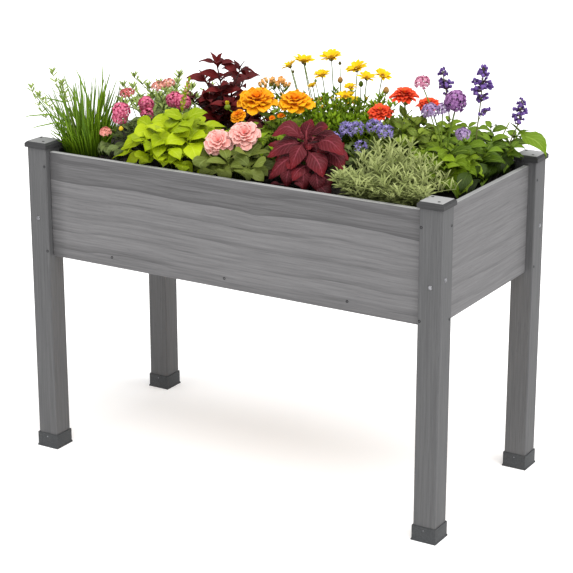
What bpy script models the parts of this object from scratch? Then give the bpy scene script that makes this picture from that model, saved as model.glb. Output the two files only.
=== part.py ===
"""A planted raised bed: a grey wooden box on four legs, lined, filled with soil and planted.

Metres, +Z up. The origin is on the ground under the middle of the bed. +X runs along the
bed to the right, and its front long side faces -Y. Every plant keeps to its own plot: an
upright plane stands between each two plants, and leaves bend clear of it.
"""

import math
import random

import bmesh
import bpy
from mathutils import Matrix, Vector

# The wooden box
LENGTH = 1.219  # outer faces of the legs, along X
DEPTH = 0.590  # outer faces of the legs, along Y
LEG = 0.060  # a leg is square
LEG_ROUND = 0.002
PANEL_TOP = 0.836
PANEL_BOTTOM = 0.551
PANEL_THICK = 0.015
LONG_SETBACK = 0.016  # from the legs' front faces to the long panel
END_SETBACK = 0.020  # from the legs' end faces to the end panel
GAP = 0.0003  # between pieces that touch

# The caps and feet
CAP_TOP = 0.862
CAP_THICK = 0.016
CAP_OVERHANG = 0.005
CAP_CHAMFER = 0.006
FOOT_HEIGHT = 0.040
FOOT_WALL = 0.0035
FOOT_SOLE = 0.004
FLANGE_OUT = 0.005
FLANGE_HEIGHT = 0.006

# The bolts: one through each outer face of a leg, into the end grain of a panel
BOLT_RADIUS = 0.003
BOLT_HEAD = 0.0058
BOLT_HEAD_HEIGHT = 0.0032
BOLT_LENGTH = 0.098
BOLT_SIDES = 6
LONG_PANEL_BOLT_Z = 0.672
END_PANEL_BOLT_Z = 0.655
BOLT_CLEARANCE = 0.0004

# The floor, liner and soil
LEDGER = 0.026  # square rail inside each long panel
LEDGER_Z = 0.577  # its middle height
FLOOR_THICK = 0.012
FLOOR_SPLIT = 0.006  # between two floor boards
DRAIN_RADIUS = 0.006
LINER_THICK = 0.0015
LINER_TOP = 0.826
SOIL_TOP = 0.815

# Where the inside of the box ends
WALL_X = LENGTH / 2 - END_SETBACK - PANEL_THICK
WALL_Y = DEPTH / 2 - LONG_SETBACK - PANEL_THICK
POST_X = LENGTH / 2 - LEG
POST_Y = DEPTH / 2 - LEG
FLOOR_Z = LEDGER_Z + LEDGER / 2 + GAP
LINER_Z = FLOOR_Z + FLOOR_THICK + GAP
CAP_BOTTOM = CAP_TOP - CAP_THICK

# Leaves stay inside these planes, and this far off a neighbour's plot
PLANT_X = 0.541
PLANT_Y = 0.258
PLOT_MARGIN = 0.0008
SOFTNESS = 0.005  # how gently a leaf is bent at a plane

# Crowns sit in plain holes in the soil
CROWN_DEPTH = 0.013
CROWN_SIDES = 6
HOLE_CLEARANCE = 0.0005
ROOT_Z = SOIL_TOP - 0.006
STALK_POINT = 0.0022  # height of the blunt end of a flower's stalk
GOLDEN = math.radians(137.508)
BLADE_HALF = 0.0007  # half of a blade's thickness at its rib
LEAF_FOLD = 0.15  # how far a leaf's edges rise, for each metre of half width
UP = Vector((0.0, 0.0, 1.0))
FRONT = Vector((0.0, 1.0, 0.0))

# Each plant's plot as (x, y, spread): a wider spread wins ground from its neighbours
PLOTS = {
    "chives": (-0.490, -0.170, 0.085),
    "pink_cluster_leaves": (-0.370, -0.100, 0.100),
    "wispy_sprigs": (-0.440, 0.110, 0.125),
    "lime_leaves": (-0.215, -0.170, 0.115),
    "dark_burgundy_leaves": (-0.245, 0.100, 0.120),
    "pale_pink_leaves": (-0.015, -0.200, 0.085),
    "marigold_leaves": (-0.005, -0.040, 0.105),
    "peach_bud_stems": (-0.055, 0.165, 0.090),
    "red_veined_leaves": (0.175, -0.185, 0.105),
    "yellow_daisies": (0.135, 0.100, 0.115),
    "blue_clusters": (0.275, -0.065, 0.055),
    "zinnia_leaves": (0.325, 0.070, 0.085),
    "silver_mound": (0.420, -0.175, 0.130),
    "globe_leaves": (0.470, -0.015, 0.080),
    "salvia_left": (0.390, 0.195, 0.065),
    "salvia_middle": (0.495, 0.095, 0.075),
    "salvia_right": (0.510, 0.205, 0.060),
}

# Crown radius of each plant
CROWNS = {
    "chives": 0.040,
    "pink_cluster_leaves": 0.016,
    "wispy_sprigs": 0.018,
    "lime_leaves": 0.024,
    "dark_burgundy_leaves": 0.020,
    "pale_pink_leaves": 0.018,
    "marigold_leaves": 0.020,
    "peach_bud_stems": 0.016,
    "red_veined_leaves": 0.020,
    "yellow_daisies": 0.026,
    "blue_clusters": 0.012,
    "zinnia_leaves": 0.018,
    "silver_mound": 0.032,
    "globe_leaves": 0.016,
    "salvia_left": 0.012,
    "salvia_middle": 0.016,
    "salvia_right": 0.014,
}

# Flowers as (up, out, notch) for each ring: shares of the height and the radius, and how far
# every second side is drawn in to leave petals between
RUFFLED = (
    (0.00, 0.00, 1.0),
    (0.01, 0.10, 1.0),
    (0.20, 0.22, 1.0),
    (0.34, 1.00, 0.78),
    (0.46, 0.50, 1.0),
    (0.62, 0.84, -0.74),
    (0.66, 0.34, 1.0),
    (0.92, 0.52, 0.70),
    (0.84, 0.10, 1.0),
    (0.90, 0.00, 1.0),
)
LAYERED = (
    (0.00, 0.00, 1.0),
    (0.01, 0.10, 1.0),
    (0.22, 0.24, 1.0),
    (0.26, 1.00, 0.76),
    (0.42, 0.60, 1.0),
    (0.50, 0.86, -0.76),
    (0.62, 0.42, 1.0),
    (0.76, 0.62, 0.74),
    (0.80, 0.24, 1.0),
    (1.00, 0.30, -0.60),
    (0.92, 0.00, 1.0),
)
DAISY = (
    (0.00, 0.00, 1.0),
    (0.05, 0.16, 1.0),
    (0.55, 1.00, 0.36),
    (0.62, 0.26, 1.0),
    (1.00, 0.00, 1.0),
)
FLORET_NOTCH = 0.78
SPRIG_LIFT = 0.8  # how far a sprig's leaf tips rise, for each metre that they reach out

# A leaf's outline: where the rings are along the blade, and how wide it is there
OVATE = ((0.30, 0.86), (0.62, 1.0))


def clear_scene():
    for thing in list(bpy.data.objects):
        bpy.data.objects.remove(thing)


def collection(name, hidden=False):
    made = bpy.data.collections.new(name)
    made.hide_render = hidden
    bpy.context.scene.collection.children.link(made)
    return made


def material(name, colour, roughness=0.6, metallic=0.0):
    made = bpy.data.materials.new(name)
    made.use_nodes = True
    shader = made.node_tree.nodes["Principled BSDF"]
    shader.inputs["Base Color"].default_value = (*colour, 1.0)
    shader.inputs["Roughness"].default_value = roughness
    shader.inputs["Metallic"].default_value = metallic
    return made


def add_object(name, mesh, place, finish=None):
    thing = bpy.data.objects.new(name, mesh)
    if finish:
        mesh.materials.append(finish)
    place.objects.link(thing)
    return thing


def mesh_from(bm, name):
    mesh = bpy.data.meshes.new(name)
    bm.to_mesh(mesh)
    bm.free()
    return mesh


def box(name, low, high, place, finish=None, rounding=0.0):
    """A box between two corners, with its edges eased by a Bevel modifier."""
    low = Vector(low)
    high = Vector(high)
    bm = bmesh.new()
    bmesh.ops.create_cube(bm, size=1.0)
    bmesh.ops.scale(bm, vec=high - low, verts=bm.verts)
    thing = add_object(name, mesh_from(bm, name), place, finish)
    thing.location = (low + high) / 2
    if rounding:
        bevel = thing.modifiers.new("eased_edges", "BEVEL")
        bevel.width = rounding
        bevel.segments = 1
    return thing


def rod(name, radius, length, sides, place):
    """An upright rod round its own origin."""
    bm = bmesh.new()
    bmesh.ops.create_cone(
        bm, cap_ends=True, segments=sides, radius1=radius, radius2=radius, depth=length
    )
    return add_object(name, mesh_from(bm, name), place)


def cutter(thing):
    thing.hide_render = True
    thing.display_type = "WIRE"
    return thing


def cut(thing, tool):
    boolean = thing.modifiers.new("cut_" + tool.name, "BOOLEAN")
    boolean.operation = "DIFFERENCE"
    boolean.object = tool


def corners():
    """The four corners of the bed as (name, sign of x, sign of y)."""
    for side, sx in (("left", -1), ("right", 1)):
        for end, sy in (("front", -1), ("back", 1)):
            yield end + "_" + side, sx, sy


def between(a, b):
    return min(a, b), max(a, b)


def make_legs(place, wood):
    legs = {}
    for corner, sx, sy in corners():
        x_low, x_high = between(sx * LENGTH / 2, sx * POST_X)
        y_low, y_high = between(sy * DEPTH / 2, sy * POST_Y)
        low = (x_low, y_low, FOOT_SOLE + GAP)
        high = (x_high, y_high, CAP_BOTTOM - GAP)
        legs[corner] = box("leg_" + corner, low, high, place, wood, LEG_ROUND)
    return legs


def make_caps(place, wood):
    """Square caps whose upper edges are chamfered."""
    half = LEG / 2 + CAP_OVERHANG
    for corner, sx, sy in corners():
        bm = bmesh.new()
        bmesh.ops.create_cube(bm, size=1.0)
        bmesh.ops.scale(bm, vec=(2 * half, 2 * half, CAP_THICK), verts=bm.verts)
        top_edges = [e for e in bm.edges if all(v.co.z > 0 for v in e.verts)]
        bmesh.ops.bevel(bm, geom=top_edges, offset=CAP_CHAMFER, segments=1, affect="EDGES")
        thing = add_object("cap_" + corner, mesh_from(bm, "cap"), place, wood)
        x = sx * (LENGTH - LEG) / 2
        y = sy * (DEPTH - LEG) / 2
        thing.location = (x, y, CAP_TOP - CAP_THICK / 2)


def make_feet(place, cutters, rubber):
    """Sleeves round the legs' lower ends, with a sole and a spread flange."""
    inner = LEG / 2 + GAP
    outer = inner + FOOT_WALL
    for corner, sx, sy in corners():
        bm = bmesh.new()
        bmesh.ops.create_cube(bm, size=1.0)
        bmesh.ops.scale(bm, vec=(2 * outer, 2 * outer, FOOT_HEIGHT), verts=bm.verts)
        bmesh.ops.translate(bm, vec=(0, 0, FOOT_HEIGHT / 2), verts=bm.verts)
        middle = Vector((0, 0, FLANGE_HEIGHT))
        everything = bm.verts[:] + bm.edges[:] + bm.faces[:]
        bmesh.ops.bisect_plane(bm, geom=everything, plane_co=middle, plane_no=UP)
        spread = (outer + FLANGE_OUT) / outer
        sole = [v for v in bm.verts if v.co.z < FLANGE_HEIGHT / 2]
        bmesh.ops.scale(bm, vec=(spread, spread, 1), verts=sole)
        thing = add_object("foot_" + corner, mesh_from(bm, "foot"), place, rubber)
        x = sx * (LENGTH - LEG) / 2
        y = sy * (DEPTH - LEG) / 2
        thing.location = (x, y, 0)
        low = (x - inner, y - inner, FOOT_SOLE)
        high = (x + inner, y + inner, FOOT_HEIGHT * 2)
        cut(thing, cutter(box("foot_hollow_" + corner, low, high, cutters)))


def make_panels(place, wood):
    panels = {}
    for side, sx in (("left", -1), ("right", 1)):
        x_low, x_high = between(sx * WALL_X, sx * (WALL_X + PANEL_THICK))
        low = (x_low, -POST_Y + GAP, PANEL_BOTTOM)
        high = (x_high, POST_Y - GAP, PANEL_TOP)
        panels[side] = box("panel_" + side, low, high, place, wood, 0.0015)
    for side, sy in (("front", -1), ("back", 1)):
        y_low, y_high = between(sy * WALL_Y, sy * (WALL_Y + PANEL_THICK))
        low = (-POST_X + GAP, y_low, PANEL_BOTTOM)
        high = (POST_X - GAP, y_high, PANEL_TOP)
        panels[side] = box("panel_" + side, low, high, place, wood, 0.0015)
    return panels


def bolt_mesh():
    """A round-headed bolt, turned about Z with its head's underside at the origin."""
    bm = bmesh.new()
    profile = (
        (0.0, BOLT_HEAD_HEIGHT),
        (BOLT_HEAD * 0.65, BOLT_HEAD_HEIGHT * 0.85),
        (BOLT_HEAD, BOLT_HEAD_HEIGHT * 0.15),
        (BOLT_HEAD, GAP),
        (BOLT_RADIUS, GAP),
        (BOLT_RADIUS, -BOLT_LENGTH),
        (0.0, -BOLT_LENGTH),
    )
    points = [bm.verts.new((0, y, z)) for y, z in profile]
    for first, second in zip(points, points[1:]):
        bm.edges.new((first, second))
    return mesh_from(bm, "bolt")


def make_bolts(place, cutters, legs, panels, steel):
    """Two bolts a leg, through bored holes in the leg and in the end of the panel."""
    long_y = WALL_Y + PANEL_THICK / 2
    end_x = WALL_X + PANEL_THICK / 2
    for corner, sx, sy in corners():
        end, side = corner.split("_")
        runs = (
            ("long", (sx * LENGTH / 2, sy * long_y, LONG_PANEL_BOLT_Z), (sx, 0, 0), panels[end]),
            ("end", (sx * end_x, sy * DEPTH / 2, END_PANEL_BOLT_Z), (0, sy, 0), panels[side]),
        )
        for kind, spot, outward, panel in runs:
            turn = Vector(outward).to_track_quat("Z", "Y")
            bolt = add_object("bolt_" + kind + "_" + corner, bolt_mesh(), place, steel)
            screw = bolt.modifiers.new("turned", "SCREW")
            screw.steps = BOLT_SIDES
            screw.render_steps = BOLT_SIDES
            screw.use_merge_vertices = True
            screw.merge_threshold = 0.00005
            bolt.location = spot
            bolt.rotation_mode = "QUATERNION"
            bolt.rotation_quaternion = turn
            name = "hole_" + kind + "_" + corner
            hole = rod(name, BOLT_RADIUS + BOLT_CLEARANCE, 1, BOLT_SIDES, cutters)
            depth = BOLT_LENGTH + BOLT_CLEARANCE
            hole.data.transform(Matrix.Diagonal((1, 1, depth + 0.01, 1)))
            hole.location = Vector(spot) + Vector(outward) * (0.01 - depth) / 2
            hole.rotation_mode = "QUATERNION"
            hole.rotation_quaternion = turn
            cutter(hole)
            cut(legs[corner], hole)
            cut(panel, hole)


def make_floor(place, cutters, wood):
    """Two ledgers along the long panels carry three drained boards."""
    for side, sy in (("front", -1), ("back", 1)):
        y_low, y_high = between(sy * (WALL_Y - GAP), sy * (WALL_Y - GAP - LEDGER))
        low = (-POST_X + GAP, y_low, LEDGER_Z - LEDGER / 2)
        high = (POST_X - GAP, y_high, LEDGER_Z + LEDGER / 2)
        box("ledger_" + side, low, high, place, wood)
    reach_x = WALL_X - GAP
    reach_y = WALL_Y - GAP
    third = 2 * reach_x / 3
    for index, side in enumerate(("left", "middle", "right")):
        x_low = -reach_x + index * third + (FLOOR_SPLIT / 2 if index else 0)
        x_high = -reach_x + (index + 1) * third - (FLOOR_SPLIT / 2 if index < 2 else 0)
        low = (x_low, -reach_y, FLOOR_Z)
        high = (x_high, reach_y, FLOOR_Z + FLOOR_THICK)
        board = box("floor_board_" + side, low, high, place, wood)
        for row, y in enumerate((-0.13, 0.13)):
            name = "drain_" + side + "_" + str(row)
            drain = cutter(rod(name, DRAIN_RADIUS, 0.05, 8, cutters))
            drain.location = ((x_low + x_high) / 2, y, FLOOR_Z)
            cut(board, drain)
        if index == 1:
            continue
        sx = index - 1
        for sy in (-1, 1):
            x_near, x_far = between(sx * (POST_X - GAP), sx * LENGTH)
            y_near, y_far = between(sy * (POST_Y - GAP), sy * DEPTH)
            name = "notch_" + side + ("_front" if sy < 0 else "_back")
            low = (x_near, y_near, PANEL_BOTTOM)
            high = (x_far, y_far, PANEL_TOP)
            cut(board, cutter(box(name, low, high, cutters)))


def plan_outline(inset):
    """The inside of the box seen from above, with the legs' corners left out."""
    wide = WALL_X - inset
    deep = WALL_Y - inset
    notch_x = POST_X - inset
    notch_y = POST_Y - inset
    for sx, sy in ((1, 1), (-1, 1), (-1, -1), (1, -1)):
        corner = [(wide, notch_y), (notch_x, notch_y), (notch_x, deep)]
        if sx * sy < 0:
            corner.reverse()
        for x, y in corner:
            yield sx * x, sy * y


def tray(name, inset, low, high, place, finish, capped):
    """The plan outline raised from low to high, closed below and, when capped, above."""
    bm = bmesh.new()
    floor = bm.faces.new([bm.verts.new((x, y, low)) for x, y in plan_outline(inset)])
    raised = bmesh.ops.extrude_face_region(bm, geom=[floor])["geom"]
    lifted = [v for v in raised if isinstance(v, bmesh.types.BMVert)]
    bmesh.ops.translate(bm, vec=(0, 0, high - low), verts=lifted)
    if not capped:
        lids = [f for f in raised if isinstance(f, bmesh.types.BMFace)]
        bmesh.ops.delete(bm, geom=lids, context="FACES_ONLY")
    bmesh.ops.recalc_face_normals(bm, faces=bm.faces)
    return add_object(name, mesh_from(bm, name), place, finish)


def make_liner(place, fabric):
    liner = tray("liner", GAP, LINER_Z, LINER_TOP, place, fabric, capped=False)
    wall = liner.modifiers.new("fabric_thickness", "SOLIDIFY")
    wall.thickness = LINER_THICK
    wall.offset = -1
    wall.use_even_offset = True


def make_soil(place, cutters, earth):
    inset = GAP + LINER_THICK + GAP
    low = LINER_Z + LINER_THICK + GAP
    soil = tray("soil", inset, low, SOIL_TOP, place, earth, capped=True)
    for name, (x, y, _) in PLOTS.items():
        length = 2 * (CROWN_DEPTH + HOLE_CLEARANCE)
        hole = cutter(rod("hole_" + name, CROWNS[name] + HOLE_CLEARANCE, length, CROWN_SIDES, cutters))
        hole.location = (x, y, SOIL_TOP)
        cut(soil, hole)


def fences(name, open_sides):
    """The upright planes round a plot, as (outward normal, distance from the origin)."""
    x, y, spread = PLOTS[name]
    walls = {
        "right": (Vector((1, 0, 0)), PLANT_X),
        "left": (Vector((-1, 0, 0)), PLANT_X),
        "back": (Vector((0, 1, 0)), PLANT_Y),
        "front": (Vector((0, -1, 0)), PLANT_Y),
    }
    planes = [plane for side, plane in walls.items() if side not in open_sides]
    for other, (other_x, other_y, other_spread) in PLOTS.items():
        if other == name:
            continue
        away = Vector((other_x - x, other_y - y, 0))
        reach = (away.length_squared + spread**2 - other_spread**2) / (2 * away.length)
        normal = away.normalized()
        planes.append((normal, normal.dot(Vector((x, y, 0))) + reach))
    return planes


def arc(base, heading, rise, fall, length, steps):
    """Points of a blade that leaves base at the angle rise and ends at the angle fall."""
    points = [base]
    for step in range(steps):
        tilt = rise + (fall - rise) * (step + 0.5) / steps
        flat = math.cos(tilt)
        along = Vector((math.cos(heading) * flat, math.sin(heading) * flat, math.sin(tilt)))
        points.append(points[-1] + along * length / steps)
    return points


def bend(base, top, amount=0.55):
    """The middle points of a stem that starts upright and leans over to its top."""
    knee = Vector((base.x, base.y, base.z + (top.z - base.z) * amount))
    for t in (0.0, 0.35, 0.68, 1.0):
        yield base * (1 - t) ** 2 + knee * 2 * t * (1 - t) + top * t * t


def point_on(points, t):
    place = max(0.0, min(t, 0.9999)) * (len(points) - 1)
    index = int(place)
    return points[index].lerp(points[index + 1], place - index)


def blade_at(points, width):
    """The stations of a blade: points along its spine and half widths there."""
    stations = [points[0]]
    widths = [0.0]
    for t, share in OVATE:
        stations.append(point_on(points, t))
        widths.append(width * share / 2)
    stations.append(points[-1])
    widths.append(0.0)
    return stations, widths


def split_quads(bm, rings):
    """Cuts every quad from its edge line to its rib line, alike on both faces."""
    for face in [f for f in bm.faces if len(f.verts) == 4]:
        lowest = min(rings[v][0] for v in face.verts)
        ends = [v for v in face.verts if (rings[v][0] == lowest) == (rings[v][1] % 2 == 0)]
        edge_end, rib_end = sorted(ends, key=lambda v: rings[v][0])
        bmesh.utils.face_split(face, edge_end, rib_end)


def spindle(points, widths, thicks, up, sides, fold=0.0, notches=None, lift=0.0):
    """A closed blade, stem or flower: a sphere whose rings are moved along a spine.

    A ring's notch is the share of its radius that every second side keeps, so the other
    sides stand out as petals or leaflets, whose tips are raised along the spine by lift.
    A negative notch changes the two sets of sides over.
    """
    steps = len(points) - 1
    bm = bmesh.new()
    bmesh.ops.create_uvsphere(bm, u_segments=sides, v_segments=steps, radius=1.0)
    rings = {}
    for vert in bm.verts:
        polar = math.acos(max(-1.0, min(1.0, vert.co.z)))
        ring = round(polar / math.pi * steps)
        turn = math.atan2(vert.co.y, vert.co.x)
        number = round(turn / (2 * math.pi) * sides) % sides
        rings[vert] = (ring, number)
        notch = notches[ring] if notches else 1.0
        share = abs(notch) if number % 2 == (notch > 0) else 1.0
        raised = lift if notch != 1.0 and share == 1.0 else 0.0
        before = points[max(ring - 1, 0)]
        after = points[min(ring + 1, steps)]
        along = (after - before).normalized()
        face = up - along * up.dot(along)
        if face.length < 0.05:
            face = along.orthogonal()
        face.normalize()
        side = along.cross(face)
        across = math.cos(turn) * widths[ring] * share
        above = math.sin(turn) * thicks[ring] * share + fold * abs(across)
        vert.co = points[ring] + side * across + face * above + along * raised
    if sides == 4:
        split_quads(bm, rings)
    bmesh.ops.triangulate(bm, faces=bm.faces[:])
    return mesh_from(bm, "spindle")


class Body:
    """One node of a plant: pieces that are joined into a single solid."""

    def __init__(self, name, finish, seed=0, open_sides=()):
        self.name = name
        self.finish = finish
        self.rng = random.Random(seed)
        self.pieces = []
        self.blooms = []
        self.planes = []
        if name in PLOTS:
            self.planes = fences(name, open_sides)
            self.x, self.y, _ = PLOTS[name]

    def keep(self, point, reach):
        """Bends a point clear of the flowers above and of the neighbours' plots."""
        point = point.copy()
        for centre, radius in self.blooms:
            away = point - centre
            if away.length < radius + reach:
                point = centre + away.normalized() * (radius + reach)
        need = reach + PLOT_MARGIN
        for _ in range(3):
            for normal, distance in self.planes:
                inside = distance - normal.dot(point)
                if inside > need + 8 * SOFTNESS:
                    continue
                eased = need + SOFTNESS * math.log1p(math.exp((inside - need) / SOFTNESS))
                point -= normal * (eased - inside)
        return point

    def add(self, points, widths, thicks, up, sides, fold=0.0):
        kept = [points[0]]
        for point, width, thick in zip(points[1:], widths[1:], thicks[1:]):
            kept.append(self.keep(point, max(width, thick) * (1 + fold)))
        self.pieces.append(spindle(kept, widths, thicks, up, sides, fold))
        return kept

    def crown(self):
        """The low woody base that sits in its hole in the soil."""
        radius = CROWNS[self.name]
        heights = (-CROWN_DEPTH, -CROWN_DEPTH + 0.0005, 0.002, 0.008)
        points = [Vector((self.x, self.y, SOIL_TOP + z)) for z in heights]
        widths = (0.0, radius, radius, 0.0)
        self.pieces.append(spindle(points, widths, widths, FRONT, CROWN_SIDES))

    def root(self, index, count):
        """Where a stem leaves the crown, with its heading and its share of the radius."""
        share = math.sqrt((index + 0.5) / count)
        heading = index * GOLDEN
        out = CROWNS[self.name] * 0.65 * share
        spot = Vector((self.x + out * math.cos(heading), self.y + out * math.sin(heading), ROOT_Z))
        return spot, heading, share

    def stem(self, base, top, radius, amount=0.55):
        points = list(bend(base, top, amount))
        radii = (0.0, radius, radius * 0.8, 0.0)
        return self.add(points, radii, radii, FRONT, 3)

    def stalk(self, base, top, radius, lean=None):
        """A stem with a short blunt end that carries a flower."""
        points = list(bend(base, top))
        direction = (lean or (top - points[2])).normalized()
        points[2:] = [top - direction * STALK_POINT, top]
        radii = (0.0, radius, radius * 0.9, 0.0)
        self.pieces.append(spindle(points, radii, radii, FRONT, 3))
        return points

    def leaf(self, base, heading, rise, fall, length, width):
        points = arc(base, heading, rise, fall, length, 4)
        stations, widths = blade_at(points, width)
        thicks = [0.0] + [BLADE_HALF] * len(OVATE) + [0.0]
        return self.add(stations, widths, thicks, UP, 4, LEAF_FOLD)

    def sprig(self, curve, girth, reach, tiers, low=0.25):
        """A stem whose own skin stands out in tiers of narrow leaves, turned tier by tier."""
        count = 2 * tiers + 1
        points = [curve[0]]
        radii = [0.0]
        notches = [1.0]
        for index in range(count):
            leafy = index % 2
            points.append(point_on(curve, low + (1 - low) * (index + 0.5) / (count + 0.5)))
            room = reach * (1.05 - 0.5 * index / count)
            radii.append(room if leafy else girth)
            notches.append(girth / room * (1 if index % 4 == 1 else -1) if leafy else 1.0)
        points.append(curve[-1])
        radii.append(0.0)
        notches.append(1.0)
        kept = [points[0]]
        for point, radius in zip(points[1:], radii[1:]):
            kept.append(self.keep(point, radius))
        turned = Vector((self.rng.uniform(-1, 1), self.rng.uniform(-1, 1), 0)).normalized()
        lift = SPRIG_LIFT * reach
        self.pieces.append(spindle(kept, radii, radii, turned, 4, 0.0, notches, lift))
        return kept

    def leafy_stem(self, base, top, radius, count, size, tilt, low=0.25):
        """A stem with leaves that shorten towards its top. size is (length, width)."""
        points = self.stem(base, top, radius)
        start = self.rng.uniform(0, 2 * math.pi)
        length, width = size
        rise, fall = tilt
        for index in range(count):
            t = low + (0.97 - low) * (index + 0.5) / count
            scale = (1.05 - 0.45 * t) * self.rng.uniform(0.9, 1.1)
            heading = start + index * GOLDEN + self.rng.uniform(-0.2, 0.2)
            place = point_on(points, t)
            ends = (rise + 0.35 * t, fall + 0.35 * t)
            self.leaf(place, heading, *ends, length * scale, width * scale)
        return points

    def bead(self, base, along, length, width, blunt=0.7, sides=4):
        """A floret or a bud: a short spindle that widens towards its end."""
        tip = base + along.normalized() * length
        points = [base, base.lerp(tip, blunt), tip]
        radii = (0.0, width / 2, 0.0)
        self.pieces.append(spindle(points, radii, radii, along.orthogonal(), sides))

    def turned(self, base, axis, radius, height, profile, sides):
        """A flower as one skin round its axis. profile holds (up, out, notch) for each ring."""
        points = [base + axis * height * up for up, _, _ in profile]
        radii = [radius * out for _, out, _ in profile]
        notches = [notch for _, _, notch in profile]
        self.pieces.append(spindle(points, radii, radii, FRONT, sides, 0.0, notches))

    def head(self, base, axis, radius, height, sides, tiers):
        """A head of florets: they stand out all over a rounded core, in staggered tiers."""
        profile = [(0.0, 0.0, 1.0), (0.01, 0.22, 1.0)]
        for tier in range(tiers):
            angle = math.pi * (0.16 + 0.72 * (tier + 0.5) / tiers)
            notch = FLORET_NOTCH if tier % 2 else -FLORET_NOTCH
            profile.append((0.5 - 0.5 * math.cos(angle), math.sin(angle), notch))
        profile.append((0.97, 0.0, 1.0))
        self.turned(base, axis, radius, height, profile, sides)

    def spike(self, points, low, high, whorls, radius, sides=8):
        """Whorls of florets up a stem, as one skin between two shares of its length."""
        count = 2 * whorls + 1
        spine = [point_on(points, low + (high - low) * i / (count + 1)) for i in range(count + 2)]
        radii = [0.0]
        notches = [1.0]
        for index in range(count):
            taper = 1.1 - 0.55 * index / count
            radii.append(radius * taper * (1.0 if index % 2 else 0.30))
            notches.append((0.45 if index % 4 == 1 else -0.45) if index % 2 else 1.0)
        radii.append(0.0)
        notches.append(1.0)
        self.pieces.append(spindle(spine, radii, radii, FRONT, sides, 0.0, notches))

    def finish_body(self, place):
        """Joins the pieces into one solid and leaves one object in the bed's collection."""
        loose = collection("joining_" + self.name)
        first = add_object(self.name + "_core", self.pieces[0], loose)
        rest = collection("rest_of_" + self.name)
        for mesh in self.pieces[1:]:
            add_object("piece", mesh, rest)
        if len(self.pieces) > 1:
            union = first.modifiers.new("join", "BOOLEAN")
            union.operation = "UNION"
            union.operand_type = "COLLECTION"
            union.collection = rest
            union.solver = "MANIFOLD"
        graph = bpy.context.evaluated_depsgraph_get()
        joined = bpy.data.meshes.new_from_object(first.evaluated_get(graph))
        for group in (rest, loose):
            for thing in list(group.objects):
                bpy.data.objects.remove(thing)
            bpy.data.collections.remove(group)
        joined.materials.clear()
        return add_object(self.name, joined, place, self.finish)


def grow_chives(place, green):
    """A clump of round blades. Some arch out over the rim, with two sprigs among them."""
    clump = Body("chives", green, seed=3, open_sides=("left",))
    clump.crown()
    blades = 18
    for index in range(blades):
        base, heading, share = clump.root(index, blades)
        lean = math.radians(4 + 30 * share**1.5 + clump.rng.uniform(-5, 5))
        if math.cos(heading) < -0.3 and share > 0.6:
            lean *= 0.75
        length = clump.rng.uniform(0.18, 0.25) * (1 - 0.12 * share)
        points = arc(base, heading, math.pi / 2 - lean * 0.5, math.pi / 2 - lean * 1.6, length, 3)
        radii = (0.0, 0.0019, 0.0015, 0.0)
        clump.add(points, radii, radii, UP, 3)
    root = Vector((clump.x - 0.02, clump.y - 0.02, ROOT_Z))
    arching = (
        ((-0.530, -0.205, 0.893), (-0.590, -0.222, 0.925), (-0.662, -0.240, 0.908)),
        ((-0.528, -0.180, 0.905), (-0.578, -0.190, 0.955), (-0.632, -0.205, 0.960)),
    )
    sprigs = (
        ((-0.525, -0.215, 0.885), (-0.580, -0.232, 0.935), (-0.640, -0.245, 0.985)),
        ((-0.510, -0.205, 0.905), (-0.545, -0.220, 0.975), (-0.572, -0.225, 1.045)),
    )
    radii = (0.0, 0.0018, 0.0013, 0.0)
    for route in arching:
        points = [root] + [Vector(spot) for spot in route]
        clump.pieces.append(spindle(points, radii, radii, UP, 3))
    for route in sprigs:
        clump.sprig([root] + [Vector(spot) for spot in route], 0.0019, 0.012, 4, 0.55)
    return clump.finish_body(place)


def flower(name, finish, centre, axis, height):
    """A body for a separate flower, with the place where its underside starts."""
    axis = Vector(axis).normalized()
    base = Vector(centre) - axis * height / 2
    return Body(name, finish), base, axis


def bear(plant, base, axis, radius, index, count, thick=0.0021):
    """Grows the stalk under a flower, and keeps the plant's own leaves off the flower."""
    root, _, _ = plant.root(index, count)
    plant.stalk(root, base - axis * GAP, thick, axis)
    plant.blooms.append((base + axis * radius * 0.4, radius * 1.02))


def grow_pink_clusters(place, green, pink):
    """Rounded heads of small pink florets over dull green leaves."""
    plant = Body("pink_cluster_leaves", green, seed=5)
    plant.crown()
    heads = (
        ("pink_cluster_front", (-0.372, -0.195, 0.948), (0.1, -0.5, 0.86), 0.026),
        ("pink_cluster_middle", (-0.368, -0.080, 0.940), (0.1, -0.4, 0.9), 0.025),
        ("pink_cluster_back", (-0.305, -0.035, 0.962), (0.1, -0.3, 0.95), 0.027),
    )
    for index, (name, centre, axis, radius) in enumerate(heads):
        head, base, axis = flower(name, pink, centre, axis, radius * 1.5)
        head.head(base, axis, radius, radius * 1.5, 12, 6)
        head.finish_body(place)
        bear(plant, base, axis, radius, index, 9)
    small = (((-0.378, 0.000, 0.975), 0.018), ((-0.405, -0.085, 0.985), 0.016))
    for index, (centre, radius) in enumerate(small):
        root, _, _ = plant.root(index + 3, 9)
        top = Vector(centre)
        plant.stalk(root, top, 0.0018)
        plant.head(top - UP * 0.003, UP, radius, radius, 8, 3)
        plant.blooms.append((top + UP * radius / 2, radius))
    root, _, _ = plant.root(6, 9)
    low_head = Vector((-0.398, -0.225, 0.893))
    plant.stalk(root, low_head, 0.0014)
    plant.head(low_head - UP * 0.002, UP, 0.010, 0.010, 8, 3)
    for index in range(4):
        root, heading, share = plant.root(index + 2, 6)
        out = 0.035 + 0.05 * share
        top = root + Vector((math.cos(heading) * out, math.sin(heading) * out, 0.085))
        plant.leafy_stem(root, top, 0.0018, 2, (0.060, 0.026), (0.5, -0.35), 0.3)
    return plant.finish_body(place)


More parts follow.
